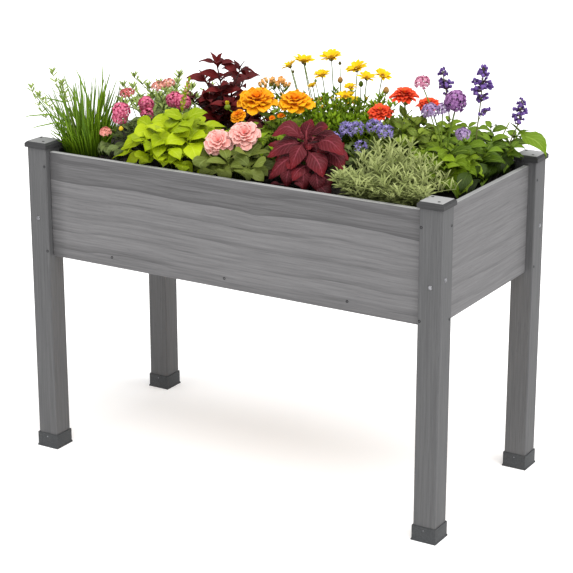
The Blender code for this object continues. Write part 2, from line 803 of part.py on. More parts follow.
def grow_wispy_sprigs(place, green):
    """Thin upright sprigs with narrow leaflets, behind the pink clusters."""
    plant = Body("wispy_sprigs", green, seed=7)
    plant.crown()
    tops = (
        (-0.500, 0.040, 1.030),
        (-0.455, 0.055, 0.985),
        (-0.450, 0.105, 1.000),
        (-0.375, 0.085, 1.045),
        (-0.490, 0.170, 0.970),
        (-0.400, 0.180, 0.990),
    )
    for index, top in enumerate(tops):
        root, _, _ = plant.root(index, len(tops))
        plant.sprig(list(bend(root, Vector(top))), 0.0019, 0.020, 5, 0.3)
    return plant.finish_body(place)


def grow_lime(place, lime):
    """Broad smooth lime-green leaves that droop at the tips, and one stalk of buds."""
    plant = Body("lime_leaves", lime, seed=9)
    plant.crown()
    shoots = 5
    for index in range(shoots):
        root, heading, share = plant.root(index, shoots)
        out = 0.085 * share
        rise = 0.135 - 0.065 * share
        top = root + Vector((math.cos(heading) * out, math.sin(heading) * out, rise))
        plant.leafy_stem(root, top, 0.0026, 3, (0.082, 0.044), (0.55, -0.65), 0.5)
    root, _, _ = plant.root(1, 9)
    top = Vector((-0.198, -0.135, 1.045))
    points = plant.stem(root, top, 0.0022)
    plant.spike(points, 0.72, 0.99, 3, 0.010, 6)
    return plant.finish_body(place)


def grow_burgundy(place, burgundy):
    """Upright stems with pointed, almost black leaves."""
    plant = Body("dark_burgundy_leaves", burgundy, seed=11)
    plant.crown()
    tops = (
        (-0.258, 0.080, 1.050, 5),
        (-0.180, 0.085, 0.995, 4),
        (-0.310, 0.115, 0.960, 3),
        (-0.225, 0.170, 0.985, 3),
        (-0.185, 0.030, 0.930, 2),
    )
    for index, (x, y, z, leaves) in enumerate(tops):
        root, _, _ = plant.root(index, len(tops))
        size = (0.072, 0.030)
        plant.leafy_stem(root, Vector((x, y, z)), 0.0026, leaves, size, (0.5, -0.7), 0.3)
    return plant.finish_body(place)


def grow_pale_pink(place, green, pale):
    """Two ruffled pale pink flowers on thin stalks, over grey-green oval leaves."""
    plant = Body("pale_pink_leaves", green, seed=13)
    plant.crown()
    flowers = (
        ("pale_pink_bloom_left", (-0.066, -0.212, 0.905), (0.15, -0.75, 0.65), 0.032),
        ("pale_pink_bloom_right", (0.000, -0.182, 0.930), (0.35, -0.60, 0.72), 0.038),
    )
    for index, (name, centre, axis, radius) in enumerate(flowers):
        bloom, base, axis = flower(name, pale, centre, axis, radius * 0.8)
        bloom.turned(base, axis, radius, radius * 0.8, RUFFLED, 14)
        bloom.finish_body(place)
        bear(plant, base, axis, radius, index, 7, 0.0019)
    for index in range(4):
        root, heading, share = plant.root(index, 4)
        out = 0.02 + 0.045 * share
        top = root + Vector((math.cos(heading) * out, math.sin(heading) * out, 0.035))
        plant.leafy_stem(root, top, 0.0018, 2, (0.060, 0.027), (0.5, -0.3), 0.4)
    return plant.finish_body(place)


def grow_marigolds(place, green, orange):
    """Full orange flowers over divided green leaves."""
    plant = Body("marigold_leaves", green, seed=17)
    plant.crown()
    flowers = (
        ("marigold_bloom_left", (-0.050, -0.050, 0.990), (0.15, -0.30, 0.94), 0.049),
        ("marigold_bloom_right", (0.066, -0.050, 0.998), (0.10, -0.25, 0.96), 0.046),
        ("marigold_bloom_small", (-0.070, -0.108, 0.957), (-0.1, -0.55, 0.83), 0.020),
    )
    for index, (name, centre, axis, radius) in enumerate(flowers):
        bloom, base, axis = flower(name, orange, centre, axis, radius * 0.8)
        sides = 14 if radius > 0.03 else 10
        bloom.turned(base, axis, radius, radius * 0.8, LAYERED, sides)
        bloom.finish_body(place)
        bear(plant, base, axis, radius, index, 8)
    for index in range(5):
        root, heading, share = plant.root(index, 5)
        out = 0.08 * share
        top = root + Vector((math.cos(heading) * out, math.sin(heading) * out, 0.120))
        plant.sprig(list(bend(root, top)), 0.0026, 0.032, 4, 0.25)
    return plant.finish_body(place)


def grow_peach_buds(place, green):
    """Forked stems with small round buds, behind the marigolds."""
    plant = Body("peach_bud_stems", green, seed=19)
    plant.crown()
    tops = (
        (-0.085, 0.080, 1.000),
        (-0.060, 0.085, 1.015),
        (-0.035, 0.110, 1.020),
        (-0.095, 0.170, 0.990),
        (-0.025, 0.200, 0.970),
    )
    for index, top in enumerate(tops):
        root, _, _ = plant.root(index, len(tops))
        points = plant.sprig(list(bend(root, Vector(top))), 0.0024, 0.028, 3, 0.35)
        heading = index * GOLDEN
        along = Vector((math.cos(heading), math.sin(heading), 1.3))
        plant.bead(point_on(points, 0.93), along, 0.020, 0.011, 0.6)
    return plant.finish_body(place)


def grow_red_veined(place, red):
    """Large pointed leaves in tiers round upright stems."""
    plant = Body("red_veined_leaves", red, seed=23)
    plant.crown()
    shoots = (
        (0.170, -0.175, 0.955, 6),
        (0.120, -0.200, 0.890, 3),
        (0.225, -0.195, 0.905, 3),
        (0.170, -0.125, 0.910, 3),
        (0.185, -0.228, 0.875, 2),
    )
    for index, (x, y, z, leaves) in enumerate(shoots):
        root, _, _ = plant.root(index, len(shoots))
        size = (0.098, 0.048)
        plant.leafy_stem(root, Vector((x, y, z)), 0.0030, leaves, size, (0.45, -0.75), 0.4)
    return plant.finish_body(place)


def grow_daisies(place, green):
    """Fine foliage with yellow daisies and buds on long stalks."""
    plant = Body("yellow_daisies", green, seed=29)
    plant.crown()
    daisies = (
        (-0.005, 0.040, 1.070, 0.020),
        (0.025, 0.060, 1.080, 0.029),
        (0.085, 0.100, 1.095, 0.031),
        (0.080, 0.060, 1.055, 0.021),
        (0.160, 0.100, 1.075, 0.031),
        (0.200, 0.080, 1.050, 0.025),
        (0.235, 0.100, 1.065, 0.020),
        (0.160, 0.060, 1.025, 0.018),
        (0.165, 0.040, 1.005, 0.023),
        (0.060, 0.060, 1.015, 0.014),
        (0.100, 0.185, 1.040, 0.024),
        (0.185, 0.180, 1.020, 0.020),
    )
    total = len(daisies) + 5
    for index, (x, y, z, radius) in enumerate(daisies):
        root, _, _ = plant.root(index, total)
        top = Vector((x, y, z))
        axis = Vector((0.1, -0.25, 0.96)).normalized()
        plant.stalk(root, top, 0.0015, axis)
        plant.turned(top - axis * 0.003, axis, radius, radius * 0.45, DAISY, 10)
    for index in range(5):
        root, heading, share = plant.root(index, 5)
        out = 0.10 * share
        rise = plant.rng.uniform(0.13, 0.18)
        top = root + Vector((math.cos(heading) * out, math.sin(heading) * out, rise))
        plant.sprig(list(bend(root, top)), 0.0022, 0.028, 3, 0.3)
    return plant.finish_body(place)


def grow_blue_clusters(place, blue):
    """Clusters of small blue-violet florets on short stems."""
    plant = Body("blue_clusters", blue, seed=31)
    plant.crown()
    heads = (
        (0.238, -0.060, 0.945, 0.026),
        (0.308, -0.052, 0.955, 0.023),
        (0.275, -0.092, 0.912, 0.016),
    )
    for index, (x, y, z, radius) in enumerate(heads):
        root, _, _ = plant.root(index, 5)
        axis = Vector((0.2, -0.5, 0.85)).normalized()
        base = Vector((x, y, z)) - axis * radius * 0.6
        plant.stalk(root, base + axis * 0.002, 0.0019, axis)
        plant.head(base, axis, radius, radius * 1.3, 8, 3)
    for index in range(2):
        root, heading, share = plant.root(index, 2)
        out = 0.03 * share
        top = root + Vector((math.cos(heading) * out, math.sin(heading) * out, 0.07))
        plant.leafy_stem(root, top, 0.0018, 2, (0.042, 0.018), (0.5, -0.2), 0.4)
    return plant.finish_body(place)


def grow_zinnias(place, green, red):
    """Flat-topped red flowers on leafy stems."""
    plant = Body("zinnia_leaves", green, seed=37)
    plant.crown()
    flowers = (
        ("zinnia_bloom_left", (0.285, 0.012, 0.992), (0.10, -0.30, 0.95), 0.033),
        ("zinnia_bloom_middle", (0.325, 0.050, 1.030), (0.05, -0.12, 0.99), 0.038),
        ("zinnia_bloom_right", (0.362, 0.112, 0.997), (0.10, -0.20, 0.97), 0.032),
    )
    for index, (name, centre, axis, radius) in enumerate(flowers):
        bloom, base, axis = flower(name, red, centre, axis, radius * 0.65)
        bloom.turned(base, axis, radius, radius * 0.65, RUFFLED, 14)
        bloom.finish_body(place)
        bear(plant, base, axis, radius, index, 7, 0.0024)
    for index in range(4):
        root, heading, share = plant.root(index, 4)
        out = 0.06 * share
        top = root + Vector((math.cos(heading) * out, math.sin(heading) * out, 0.135))
        plant.leafy_stem(root, top, 0.0024, 3, (0.066, 0.028), (0.6, -0.35), 0.3)
    return plant.finish_body(place)


def grow_silver_mound(place, silver):
    """A low mound of sprigs with narrow curling silver-green leaves."""
    plant = Body("silver_mound", silver, seed=41)
    plant.crown()
    sprigs = 10
    for index in range(sprigs):
        root, heading, share = plant.root(index, sprigs)
        out = 0.115 * share
        rise = 0.115 - 0.07 * share**2
        top = root + Vector((math.cos(heading) * out, math.sin(heading) * out, rise))
        plant.sprig(list(bend(root, top)), 0.0019, 0.027, 4, 0.25)
    return plant.finish_body(place)


def grow_globe(place, green, violet):
    """A violet globe flower and paler heads on stems over broad leaves."""
    plant = Body("globe_leaves", green, seed=43)
    plant.crown()
    axis = (0.1, -0.25, 0.95)
    globe, base, axis = flower("violet_globe", violet, (0.487, 0.000, 1.055), axis, 0.048)
    globe.head(base, axis, 0.030, 0.048, 12, 7)
    globe.finish_body(place)
    bear(plant, base, axis, 0.030, 0, 8)
    heads = (
        (0.440, -0.020, 1.012, 0.022),
        (0.525, -0.025, 0.965, 0.017),
        (0.392, 0.015, 1.078, 0.021),
    )
    for index, (x, y, z, radius) in enumerate(heads):
        root, _, _ = plant.root(index + 1, 8)
        base = Vector((x, y, z)) - axis * radius * 0.6
        plant.stalk(root, base + axis * 0.002, 0.0019, axis)
        plant.head(base, axis, radius, radius * 1.3, 8, 3)
        plant.blooms.append((Vector((x, y, z)), radius))
    for index in range(4):
        root, heading, share = plant.root(index, 4)
        out = 0.05 * share
        top = root + Vector((math.cos(heading) * out, math.sin(heading) * out, 0.115))
        plant.leafy_stem(root, top, 0.0024, 2, (0.084, 0.038), (0.5, -0.55), 0.45)
    return plant.finish_body(place)


def grow_salvia(place, green, name, seed, spike_top, shoots, size, open_sides=()):
    """A spike of violet florets, with leafy shoots round its foot."""
    plant = Body(name, green, seed, open_sides)
    plant.crown()
    root, _, _ = plant.root(0, shoots + 1)
    top = Vector(spike_top)
    points = list(bend(root, top))
    radii = (0.0, 0.0022, 0.0018, 0.0)
    plant.pieces.append(spindle(points, radii, radii, FRONT, 3))
    plant.spike(points, 0.62, 0.99, 4, 0.017, 6)
    for index in range(shoots):
        root, heading, share = plant.root(index + 1, shoots + 1)
        out = 0.045 * share
        rise = 0.125 - 0.03 * share
        above = root + Vector((math.cos(heading) * out, math.sin(heading) * out, rise))
        plant.leafy_stem(root, above, 0.0022, 3, size, (0.55, -0.5), 0.35)
    return plant


def grow_salvias(place, green):
    left_top = (0.392, 0.150, 1.085)
    middle_top = (0.530, 0.080, 1.125)
    right_top = (0.582, 0.200, 1.015)
    grow_salvia(place, green, "salvia_left", 47, left_top, 3, (0.060, 0.024)).finish_body(place)
    broad = (0.076, 0.034)
    grow_salvia(place, green, "salvia_middle", 53, middle_top, 3, broad).finish_body(place)
    right = grow_salvia(place, green, "salvia_right", 59, right_top, 2, (0.070, 0.030))
    root, _, _ = right.root(2, 3)
    joint = Vector((0.535, 0.225, 0.945))
    stem = list(bend(root, joint + Vector((0.010, -0.001, 0.006))))
    radii = (0.0, 0.0022, 0.0018, 0.0)
    right.pieces.append(spindle(stem, radii, radii, FRONT, 3))
    spine = [joint, Vector((0.570, 0.222, 0.958)), Vector((0.615, 0.215, 0.935))]
    spine += [Vector((0.645, 0.212, 0.905)), Vector((0.660, 0.210, 0.877))]
    widths = (0.0, 0.016, 0.025, 0.016, 0.0)
    thicks = (0.0, BLADE_HALF, BLADE_HALF, BLADE_HALF, 0.0)
    right.pieces.append(spindle(spine, widths, thicks, UP, 4, 0.15))
    right.finish_body(place)


def make_box(bed, cutters):
    """The wooden box with its feet, bolts, floor, liner and soil."""
    wood = material("grey_stained_wood", (0.165, 0.165, 0.170), 0.7)
    rubber = material("dark_rubber", (0.030, 0.032, 0.035), 0.75)
    steel = material("bright_steel", (0.62, 0.62, 0.63), 0.35, 1.0)
    plain_wood = material("plain_wood", (0.42, 0.32, 0.21), 0.8)
    fabric = material("liner_fabric", (0.03, 0.03, 0.03), 0.9)
    earth = material("soil", (0.030, 0.020, 0.014), 0.95)
    legs = make_legs(bed, wood)
    make_caps(bed, wood)
    make_feet(bed, cutters, rubber)
    panels = make_panels(bed, wood)
    make_bolts(bed, cutters, legs, panels, steel)
    make_floor(bed, cutters, plain_wood)
    make_liner(bed, fabric)
    make_soil(bed, cutters, earth)


def plant_box(bed):
    """Every plant, from the left end to the right."""
    green = material("green_leaf", (0.10, 0.26, 0.035), 0.5)
    dull_green = material("dull_green_leaf", (0.13, 0.20, 0.09), 0.6)
    lime = material("lime_leaf", (0.38, 0.56, 0.035), 0.45)
    burgundy = material("burgundy_leaf", (0.055, 0.010, 0.016), 0.45)
    red_leaf = material("red_veined_leaf", (0.20, 0.020, 0.050), 0.5)
    silver = material("silver_leaf", (0.42, 0.48, 0.28), 0.7)
    grow_chives(bed, green)
    grow_pink_clusters(bed, dull_green, material("pink_floret", (0.70, 0.09, 0.33)))
    grow_wispy_sprigs(bed, dull_green)
    grow_lime(bed, lime)
    grow_burgundy(bed, burgundy)
    grow_pale_pink(bed, dull_green, material("pale_pink_petal", (0.90, 0.50, 0.50)))
    grow_marigolds(bed, green, material("orange_petal", (0.95, 0.32, 0.01)))
    grow_peach_buds(bed, green)
    grow_red_veined(bed, red_leaf)
    grow_daisies(bed, material("yellow_daisy", (0.30, 0.42, 0.03)))
    grow_blue_clusters(bed, material("blue_violet_floret", (0.16, 0.12, 0.60)))
    grow_zinnias(bed, green, material("red_petal", (0.80, 0.05, 0.02)))
    grow_silver_mound(bed, silver)
    grow_globe(bed, green, material("violet_floret", (0.22, 0.06, 0.50)))
    grow_salvias(bed, green)


def main():
    clear_scene()
    bed = collection("planted_raised_bed")
    cutters = collection("cutters", hidden=True)
    make_box(bed, cutters)
    plant_box(bed)


main()
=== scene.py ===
"""The planted raised bed: its boards in their stain, and every plant with all its leaves."""

import math
import random

import bmesh
import bpy
import numpy as np
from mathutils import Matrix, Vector


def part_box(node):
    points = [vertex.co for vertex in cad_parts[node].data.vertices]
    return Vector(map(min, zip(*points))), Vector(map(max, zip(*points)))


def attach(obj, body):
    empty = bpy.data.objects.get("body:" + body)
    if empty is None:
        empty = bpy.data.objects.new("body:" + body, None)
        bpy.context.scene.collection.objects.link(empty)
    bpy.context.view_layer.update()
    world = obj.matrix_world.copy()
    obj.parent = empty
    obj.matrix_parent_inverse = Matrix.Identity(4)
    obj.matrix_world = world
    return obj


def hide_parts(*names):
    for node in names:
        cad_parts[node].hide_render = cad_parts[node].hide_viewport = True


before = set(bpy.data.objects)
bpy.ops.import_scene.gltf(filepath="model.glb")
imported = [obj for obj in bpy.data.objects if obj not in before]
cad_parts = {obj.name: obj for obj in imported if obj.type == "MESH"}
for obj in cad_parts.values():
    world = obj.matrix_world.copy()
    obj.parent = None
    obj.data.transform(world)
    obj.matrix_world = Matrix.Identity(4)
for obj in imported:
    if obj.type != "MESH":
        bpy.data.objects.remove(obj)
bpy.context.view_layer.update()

# The camera stands where the box's corners in the photograph put it
CAMERA_PLACE = (2.434, -3.996, 1.996)
CAMERA_DOWN = 17.23  # degrees below level
CAMERA_ROUND = 31.06  # degrees round from straight on
CAMERA_LENS = 116.3
CAMERA_SHIFT = (-0.0103, -0.0414)

# Light
KEY_PLACE = (1.5, -0.9, 4.2)
KEY_STRENGTH = 2.85
FILL_PLACE = (-2.4, -3.4, 3.0)
FILL_STRENGTH = 0.3
SOFTNESS = 60  # degrees across
LIT_MIDDLE = (0.0, 0.0, 0.6)  # what the lights are turned to
SKY_STRENGTH = 0.62
FLOOR_SIZE = 60.0
FLOOR_TONE = (0.94, 0.94, 0.94, 1.0)
FLOOR_GLOW = 0.26
WHITE = (1.0, 1.0, 1.0, 1.0)

# The box, as the CAD has it
LEG = 0.060
LEG_X = 0.5795  # a leg's middle
LEG_Y = 0.265
CAP_TOP = 0.862
RIM = 0.836
SOIL_TOP = 0.815
LINER_X = 0.570
LINER_Y = 0.2595
POST_X = 0.543  # where the caps start
POST_Y = 0.229

# The panels' stain, and the painted shadow of the left leg on them
RINGS_A_METRE = 21.5
RINGS_DOWN = 15.65  # how many would fit between the first ring and the ground
# Painted shadow of the left leg on the long panels, between these places along X
SHADE_START = -0.535  # the darker strip beside the left leg, along X
SHADE_END = -0.495

# The feet's sleeves, as narrow as in the photograph
FOOT_HALF = 0.0325  # half a sleeve's width
FOOT_HEIGHT = 0.040
FOOT_WALL = 0.0019
FOOT_HOLLOW = 0.0355  # depth
FOOT_EASE = 0.0006  # how far the edges are rounded
FLANGE_OUT = 0.0018
FLANGE_HEIGHT = 0.006
PIN_RADIUS = 0.0018
PIN_LENGTH = 0.0016
PIN_UP = 0.031  # its height over the ground

# Bolts
BOLT_HEAD = 0.0058  # radius
BOLT_HEAD_HEIGHT = 0.0032
BOLT_ROUNDING = 0.0019
BOLT_RIM = 0.0012  # the flat round the socket
BOLT_SOCKET = 0.0014  # depth
BOLT_SHANK = 0.003
BOLT_LENGTH = 0.098

# Small screws
SCREW_HEAD = 0.0036  # radius
SCREW_THICK = 0.002
SCREW_STANDS = 0.0007  # how far it stands out
SCREW_ROUNDING = 0.0004
SCREW_RIM = 0.0012  # the flat round the recess
SCREW_RECESS = 0.0010
CAP_SCREW_OFF = 0.017  # from the middle of the pair, along both edges
CAP_SCREW_LEFT = 0.003  # how far the pair sits left of the cap's middle
LEG_SCREW_HEIGHTS = (0.798, 0.567)
LEG_SCREW_X = 0.555
LEG_SCREW_Y = 0.245
PANEL_SCREWS_X = (-0.355, -0.005, 0.350)
PANEL_SCREW_HEIGHT = 0.577

# Plants
ROOT_Z = SOIL_TOP - 0.006
GOLDEN = math.radians(137.508)
SLACK = 0.014  # how far a leaf may lean over into the next plot
FENCED = 0.7  # the share of its reach past that which is taken back
PRESSED = 0.08  # what is left of a leaf's reach past a wall
LEAF_X = LINER_X - 0.004  # how far leaves reach at the walls
LEAF_Y = LINER_Y - 0.003
SPILL_UP = 0.012  # the height over the rim where they start to reach out past it
SPILL = 1.6  # how far they then reach out, by how much higher they are
FRINGE_X = 0.568  # where the low leaves along the rims start
FRINGE_Y = 0.238
SUNNY_SIDE = (0.50, -0.86)  # the way the leaves turn their faces
TURNED = 0.55  # how far they turn, in radians
TURNS_ASIDE = (0.0, 0.5, -1.0, 1.6, -2.2)  # what a leaf near a wall turns by, in this order
SHORTER = 0.90  # what each such turn leaves of its length
NARROWER = 0.95
LEAF_STALK = 0.0012  # radius
SPRIG_SHAPE = 0.26  # a narrow leaf's width by its length

# Each plot as (x, y, spread, crown radius)
PLOTS = {
    "chives": (-0.490, -0.170, 0.085, 0.040),
    "pink_cluster_leaves": (-0.370, -0.100, 0.107, 0.016),
    "wispy_sprigs": (-0.440, 0.110, 0.125, 0.018),
    "lime_leaves": (-0.215, -0.170, 0.108, 0.024),
    "dark_burgundy_leaves": (-0.245, 0.100, 0.120, 0.020),
    "pale_pink_leaves": (-0.015, -0.200, 0.085, 0.018),
    "marigold_leaves": (-0.005, -0.040, 0.105, 0.020),
    "peach_bud_stems": (-0.055, 0.165, 0.090, 0.016),
    "red_veined_leaves": (0.175, -0.185, 0.105, 0.020),
    "yellow_daisies": (0.135, 0.100, 0.115, 0.026),
    "blue_clusters": (0.275, -0.065, 0.055, 0.012),
    "zinnia_leaves": (0.325, 0.070, 0.085, 0.018),
    "silver_mound": (0.420, -0.175, 0.130, 0.032),
    "globe_leaves": (0.470, -0.015, 0.080, 0.016),
    "salvia_left": (0.390, 0.195, 0.065, 0.012),
    "salvia_middle": (0.495, 0.095, 0.075, 0.016),
    "salvia_right": (0.510, 0.205, 0.060, 0.014),
}


# Finishes

LOOK = {}  # every material by its name


def tone(red, green, blue):
    """A colour as read off a screen, made linear."""
    linear = []
    for level in (red, green, blue):
        share = level / 255
        linear.append(share / 12.92 if share <= 0.04045 else ((share + 0.055) / 1.055) ** 2.4)
    return (*linear, 1.0)


class Finish:
    """A material, built up node by node."""

    def __init__(self, name, roughness=0.5, **sockets):
        self.material = bpy.data.materials.new(name)
        self.material.use_nodes = True
        LOOK[name] = self.material
        self.tree = self.material.node_tree
        self.shader = self.tree.nodes["Principled BSDF"]
        self.shader.inputs["Roughness"].default_value = roughness
        for socket, value in sockets.items():
            self.shader.inputs[socket.replace("_", " ")].default_value = value

    def feed(self, socket, value):
        if isinstance(value, bpy.types.NodeSocket):
            self.tree.links.new(value, socket)
        else:
            socket.default_value = value

    def add(self, kind, inputs=(), output=0, **settings):
        node = self.tree.nodes.new(kind)
        for setting, value in settings.items():
            setattr(node, setting, value)
        for key, value in dict(inputs).items():
            self.feed(node.inputs[key], value)
        return node.outputs[output]

    def sum(self, operation, *values):
        return self.add("ShaderNodeMath", enumerate(values), operation=operation)

    def place(self, stretch=(1.0, 1.0, 1.0)):
        """Object coordinates, stretched: a larger number packs the pattern closer."""
        seat = self.add("ShaderNodeTexCoord", output=3)
        return self.add("ShaderNodeMapping", {"Vector": seat, "Scale": stretch})

    def level(self, axis):
        """How far along X, Y or Z a point of the piece is, in metres."""
        split = self.tree.nodes.new("ShaderNodeSeparateXYZ")
        self.feed(split.inputs[0], self.add("ShaderNodeTexCoord", output=3))
        return split.outputs[axis]

    def across_and_along(self):
        """The two directions of a leaf or a petal, from its own UV map."""
        split = self.tree.nodes.new("ShaderNodeSeparateXYZ")
        self.feed(split.inputs[0], self.add("ShaderNodeTexCoord", output=2))
        return split.outputs[0], split.outputs[1]

    def noise(self, vector, scale, detail=3.0, rough=0.55, distortion=0.0):
        inputs = {
            "Vector": vector,
            "Scale": scale,
            "Detail": detail,
            "Roughness": rough,
            "Distortion": distortion,
        }
        return self.add("ShaderNodeTexNoise", inputs)

    def span(self, value, low, high, start=0.0, end=1.0):
        """A value between low and high, spread smoothly from start to end."""
        inputs = {0: value, 1: low, 2: high, 3: start, 4: end}
        return self.add("ShaderNodeMapRange", inputs, interpolation_type="SMOOTHSTEP")

    def mix(self, share, first, second, blend="MIX"):
        inputs = {0: share, 6: first, 7: second}
        return self.add("ShaderNodeMix", inputs, output=2, data_type="RGBA", blend_type=blend)

    def ramp(self, share, *stops):
        """Colours by share: each stop is (place, colour)."""
        node = self.tree.nodes.new("ShaderNodeValToRGB")
        self.feed(node.inputs[0], share)
        elements = node.color_ramp.elements
        while len(elements) < len(stops):
            elements.new(0.5)
        for element, (place, colour) in zip(elements, stops):
            element.position = place
            element.color = colour
        return node.outputs[0]

    def tint(self):
        return self.add("ShaderNodeAttribute", output=2, attribute_name="tint")

    def colour(self, value):
        self.feed(self.shader.inputs["Base Color"], value)

    def bump(self, height, strength, distance):
        inputs = {"Height": height, "Strength": strength, "Distance": distance}
        self.feed(self.shader.inputs["Normal"], self.add("ShaderNodeBump", inputs))

    def shaded_foot(self, colour, darkest=0.35):
        """Painted shade: the colour darker low down among the stems, where the shade falls on them.
        """
        level = self.span(self.level(2), SOIL_TOP - 0.005, 0.880, darkest, 1.0)
        grey = self.add("ShaderNodeCombineColor", {0: level, 1: level, 2: level})
        return self.mix(1.0, colour, grey, "MULTIPLY")


def leaf_finish(name, light, dark, vein, side_veins=7.0, vein_share=0.5, depth=0.0004,
                blush=None, darkest=0.35):
    """A leaf: a pale midrib, side veins that run forward, and mottled flesh between."""
    finish = Finish(name, 0.50, Specular_IOR_Level=0.14)
    across, along = finish.across_and_along()
    off_rib = finish.sum("ABSOLUTE", finish.sum("MULTIPLY_ADD", across, 2.0, -1.0))
    rib = finish.span(off_rib, 0.03, 0.12, 1.0, 0.0)
    slant = finish.sum("MULTIPLY", off_rib, -0.30)
    stripe = finish.sum("MULTIPLY", finish.sum("ADD", along, slant), side_veins * 2 * math.pi)
    wave = finish.sum("SINE", stripe)
    side = finish.span(wave, 0.80, 1.0)
    mottle = finish.noise(finish.place(), 55.0, 4.0)
    share = finish.sum("MULTIPLY_ADD", finish.tint(), 0.75, finish.sum("MULTIPLY", mottle, 0.35))
    flesh = finish.mix(share, tone(*dark), tone(*light))
    if blush:
        flesh = finish.mix(finish.span(along, 0.55, 1.0, 0.0, 0.8), flesh, tone(*blush))
    lines = finish.sum("MAXIMUM", rib, finish.sum("MULTIPLY", side, 0.55))
    flesh = finish.mix(finish.sum("MULTIPLY", lines, vein_share), flesh, tone(*vein))
    # Painted shade, darker low down among the stems
    finish.colour(finish.shaded_foot(flesh, darkest))
    quilt = finish.sum("MULTIPLY", wave, -0.5)
    height = finish.sum("SUBTRACT", quilt, finish.sum("MULTIPLY", rib, 1.2))
    finish.bump(height, 0.6, depth)


def stem_finish(name, light, dark, darkest=0.35):
    """A stalk with fine lengthwise ribs."""
    finish = Finish(name, 0.5, Specular_IOR_Level=0.3)
    ribs = finish.noise(finish.place((420.0, 420.0, 18.0)), 1.0, 3.0)
    share = finish.sum("MULTIPLY_ADD", finish.tint(), 0.6, finish.sum("MULTIPLY", ribs, 0.4))
    flesh = finish.mix(share, tone(*dark), tone(*light))
    # Painted shade, darker low down among the stems
    finish.colour(finish.shaded_foot(flesh, darkest))
    finish.bump(ribs, 0.3, 0.0003)


def petal_finish(name, heart, middle, tip, deeper):
    """A petal: its colour runs from the heart to the tip, with fine streaks along it."""
    finish = Finish(name, 0.55, Specular_IOR_Level=0.16, Sheen_Weight=0.05)
    across, along = finish.across_and_along()
    run = finish.ramp(along, (0.0, tone(*heart)), (0.45, tone(*middle)), (1.0, tone(*tip)))
    coloured = finish.mix(finish.sum("MULTIPLY", finish.tint(), 0.8), run, tone(*deeper))
    sides = finish.sum("MULTIPLY", across, 26.0)
    ends = finish.sum("MULTIPLY", along, 2.0)
    lines = finish.add("ShaderNodeCombineXYZ", {0: sides, 1: ends})
    streak = finish.noise(lines, 1.0, 2.0)
    darker = finish.mix(0.35, coloured, tone(*heart), "MULTIPLY")
    finish.colour(finish.mix(finish.span(streak, 0.50, 0.72), coloured, darker))
    finish.bump(streak, 0.35, 0.0004)


def wood_finish(name, grain, dark, middle, light, rings=0.0, zones=0.0, lit_top=None):
    """Stained wood. The grain is the axis it runs along: 0, 1 or 2.

    rings is how strongly the growth rings show, and zones how much darker the board is along its
    top, along its foot and beside the left leg, where the darker strip is a painted shadow of the
    leg. The last argument gives a height and a paler colour: above that height the wood takes that
    colour, painted light on the top faces that the light from above falls on.
    """
    finish = Finish(name, 0.62, Specular_IOR_Level=0.3)

    def stretched(along, across):
        return [along if axis == grain else across for axis in range(3)]

    streaks = finish.noise(finish.place(stretched(7.0, 260.0)), 1.0, 4.0, 0.62)
    pores = finish.noise(finish.place(stretched(38.0, 620.0)), 1.0, 2.0, 0.5)
    base = finish.sum("MULTIPLY_ADD", streaks, 0.95, 0.025)
    if rings:
        sweep = finish.noise(finish.place(stretched(2.4, 3.0)), 1.0, 3.0, 0.45)
        wander = finish.sum("MULTIPLY", sweep, 1.5)
        even = finish.sum("MULTIPLY_ADD", finish.level(2), -RINGS_A_METRE, RINGS_DOWN)
        count = finish.sum("ADD", even, wander)
        late = finish.sum("POWER", finish.span(finish.sum("FRACT", count), 0.40, 1.0), 2.0)
        comes_and_goes = finish.noise(finish.place(stretched(3.0, 16.0)), 1.0, 2.0)
        strength = finish.span(comes_and_goes, 0.36, 0.60, 0.25, 1.0)
        fine = finish.sum("FRACT", finish.sum("MULTIPLY", count, 3.37))
        fine = finish.sum("MULTIPLY", finish.span(fine, 0.45, 1.0), 0.45)
        faint = finish.span(comes_and_goes, 0.42, 0.62, 1.0, 0.0)
        lines = finish.sum("MULTIPLY_ADD", fine, faint, finish.sum("MULTIPLY", late, strength))
        base = finish.sum("MULTIPLY_ADD", lines, -0.28 * rings, base)
        top = finish.span(count, -0.03, 0.02, 1.0, 0.0)
        foot = finish.span(count, 3.4, 4.4, 0.0, 0.8)
        # Painted shadow of the left leg: the board darker in a strip beside it
        leg_shadow = finish.span(finish.level(0), SHADE_START, SHADE_END, 0.9, 0.0)
        dim = finish.sum("ADD", finish.sum("ADD", top, foot), leg_shadow)
        base = finish.sum("MULTIPLY_ADD", dim, -0.26 * zones, base)
    stain = finish.ramp(base, (0.0, tone(*dark)), (0.5, tone(*middle)), (1.0, tone(*light)))
    pore = finish.span(pores, 0.60, 0.72, 0.0, 0.40)
    stain = finish.mix(pore, stain, tone(*dark))
    # Painted light: the top faces paler, as the light from above falls on them
    if lit_top:
        height, paler = lit_top
        share = finish.span(finish.level(2), height - 0.0012, height - 0.0004)
        stain = finish.mix(share, stain, tone(*paler))
    finish.colour(stain)
    finish.bump(streaks, 0.35, 0.0005)


def mottled_finish(name, light, dark, scale, roughness, depth, strength=0.5, **sockets):
    """Rubber, cloth, earth or metal: two tones mottled together, with a fine relief."""
    finish = Finish(name, roughness, **sockets)
    mottle = finish.noise(finish.place(), scale, 5.0, 0.6)
    finish.colour(finish.mix(finish.span(mottle, 0.35, 0.65), tone(*dark), tone(*light)))
    finish.bump(mottle, strength, depth)


# Forms: slim closed shapes that the plants are grown from

def pick(thing, chosen):
    """Selects just these vertices of the shape in edit mode."""
    bm = bmesh.from_edit_mesh(thing.data)
    for vert, wanted in zip(bm.verts, chosen):
        vert.select = bool(wanted)
    bm.select_flush_mode()
    bmesh.update_edit_mesh(thing.data)


def places(mesh):
    flat = np.empty(len(mesh.vertices) * 3)
    mesh.vertices.foreach_get("co", flat)
    return flat.reshape(-1, 3)


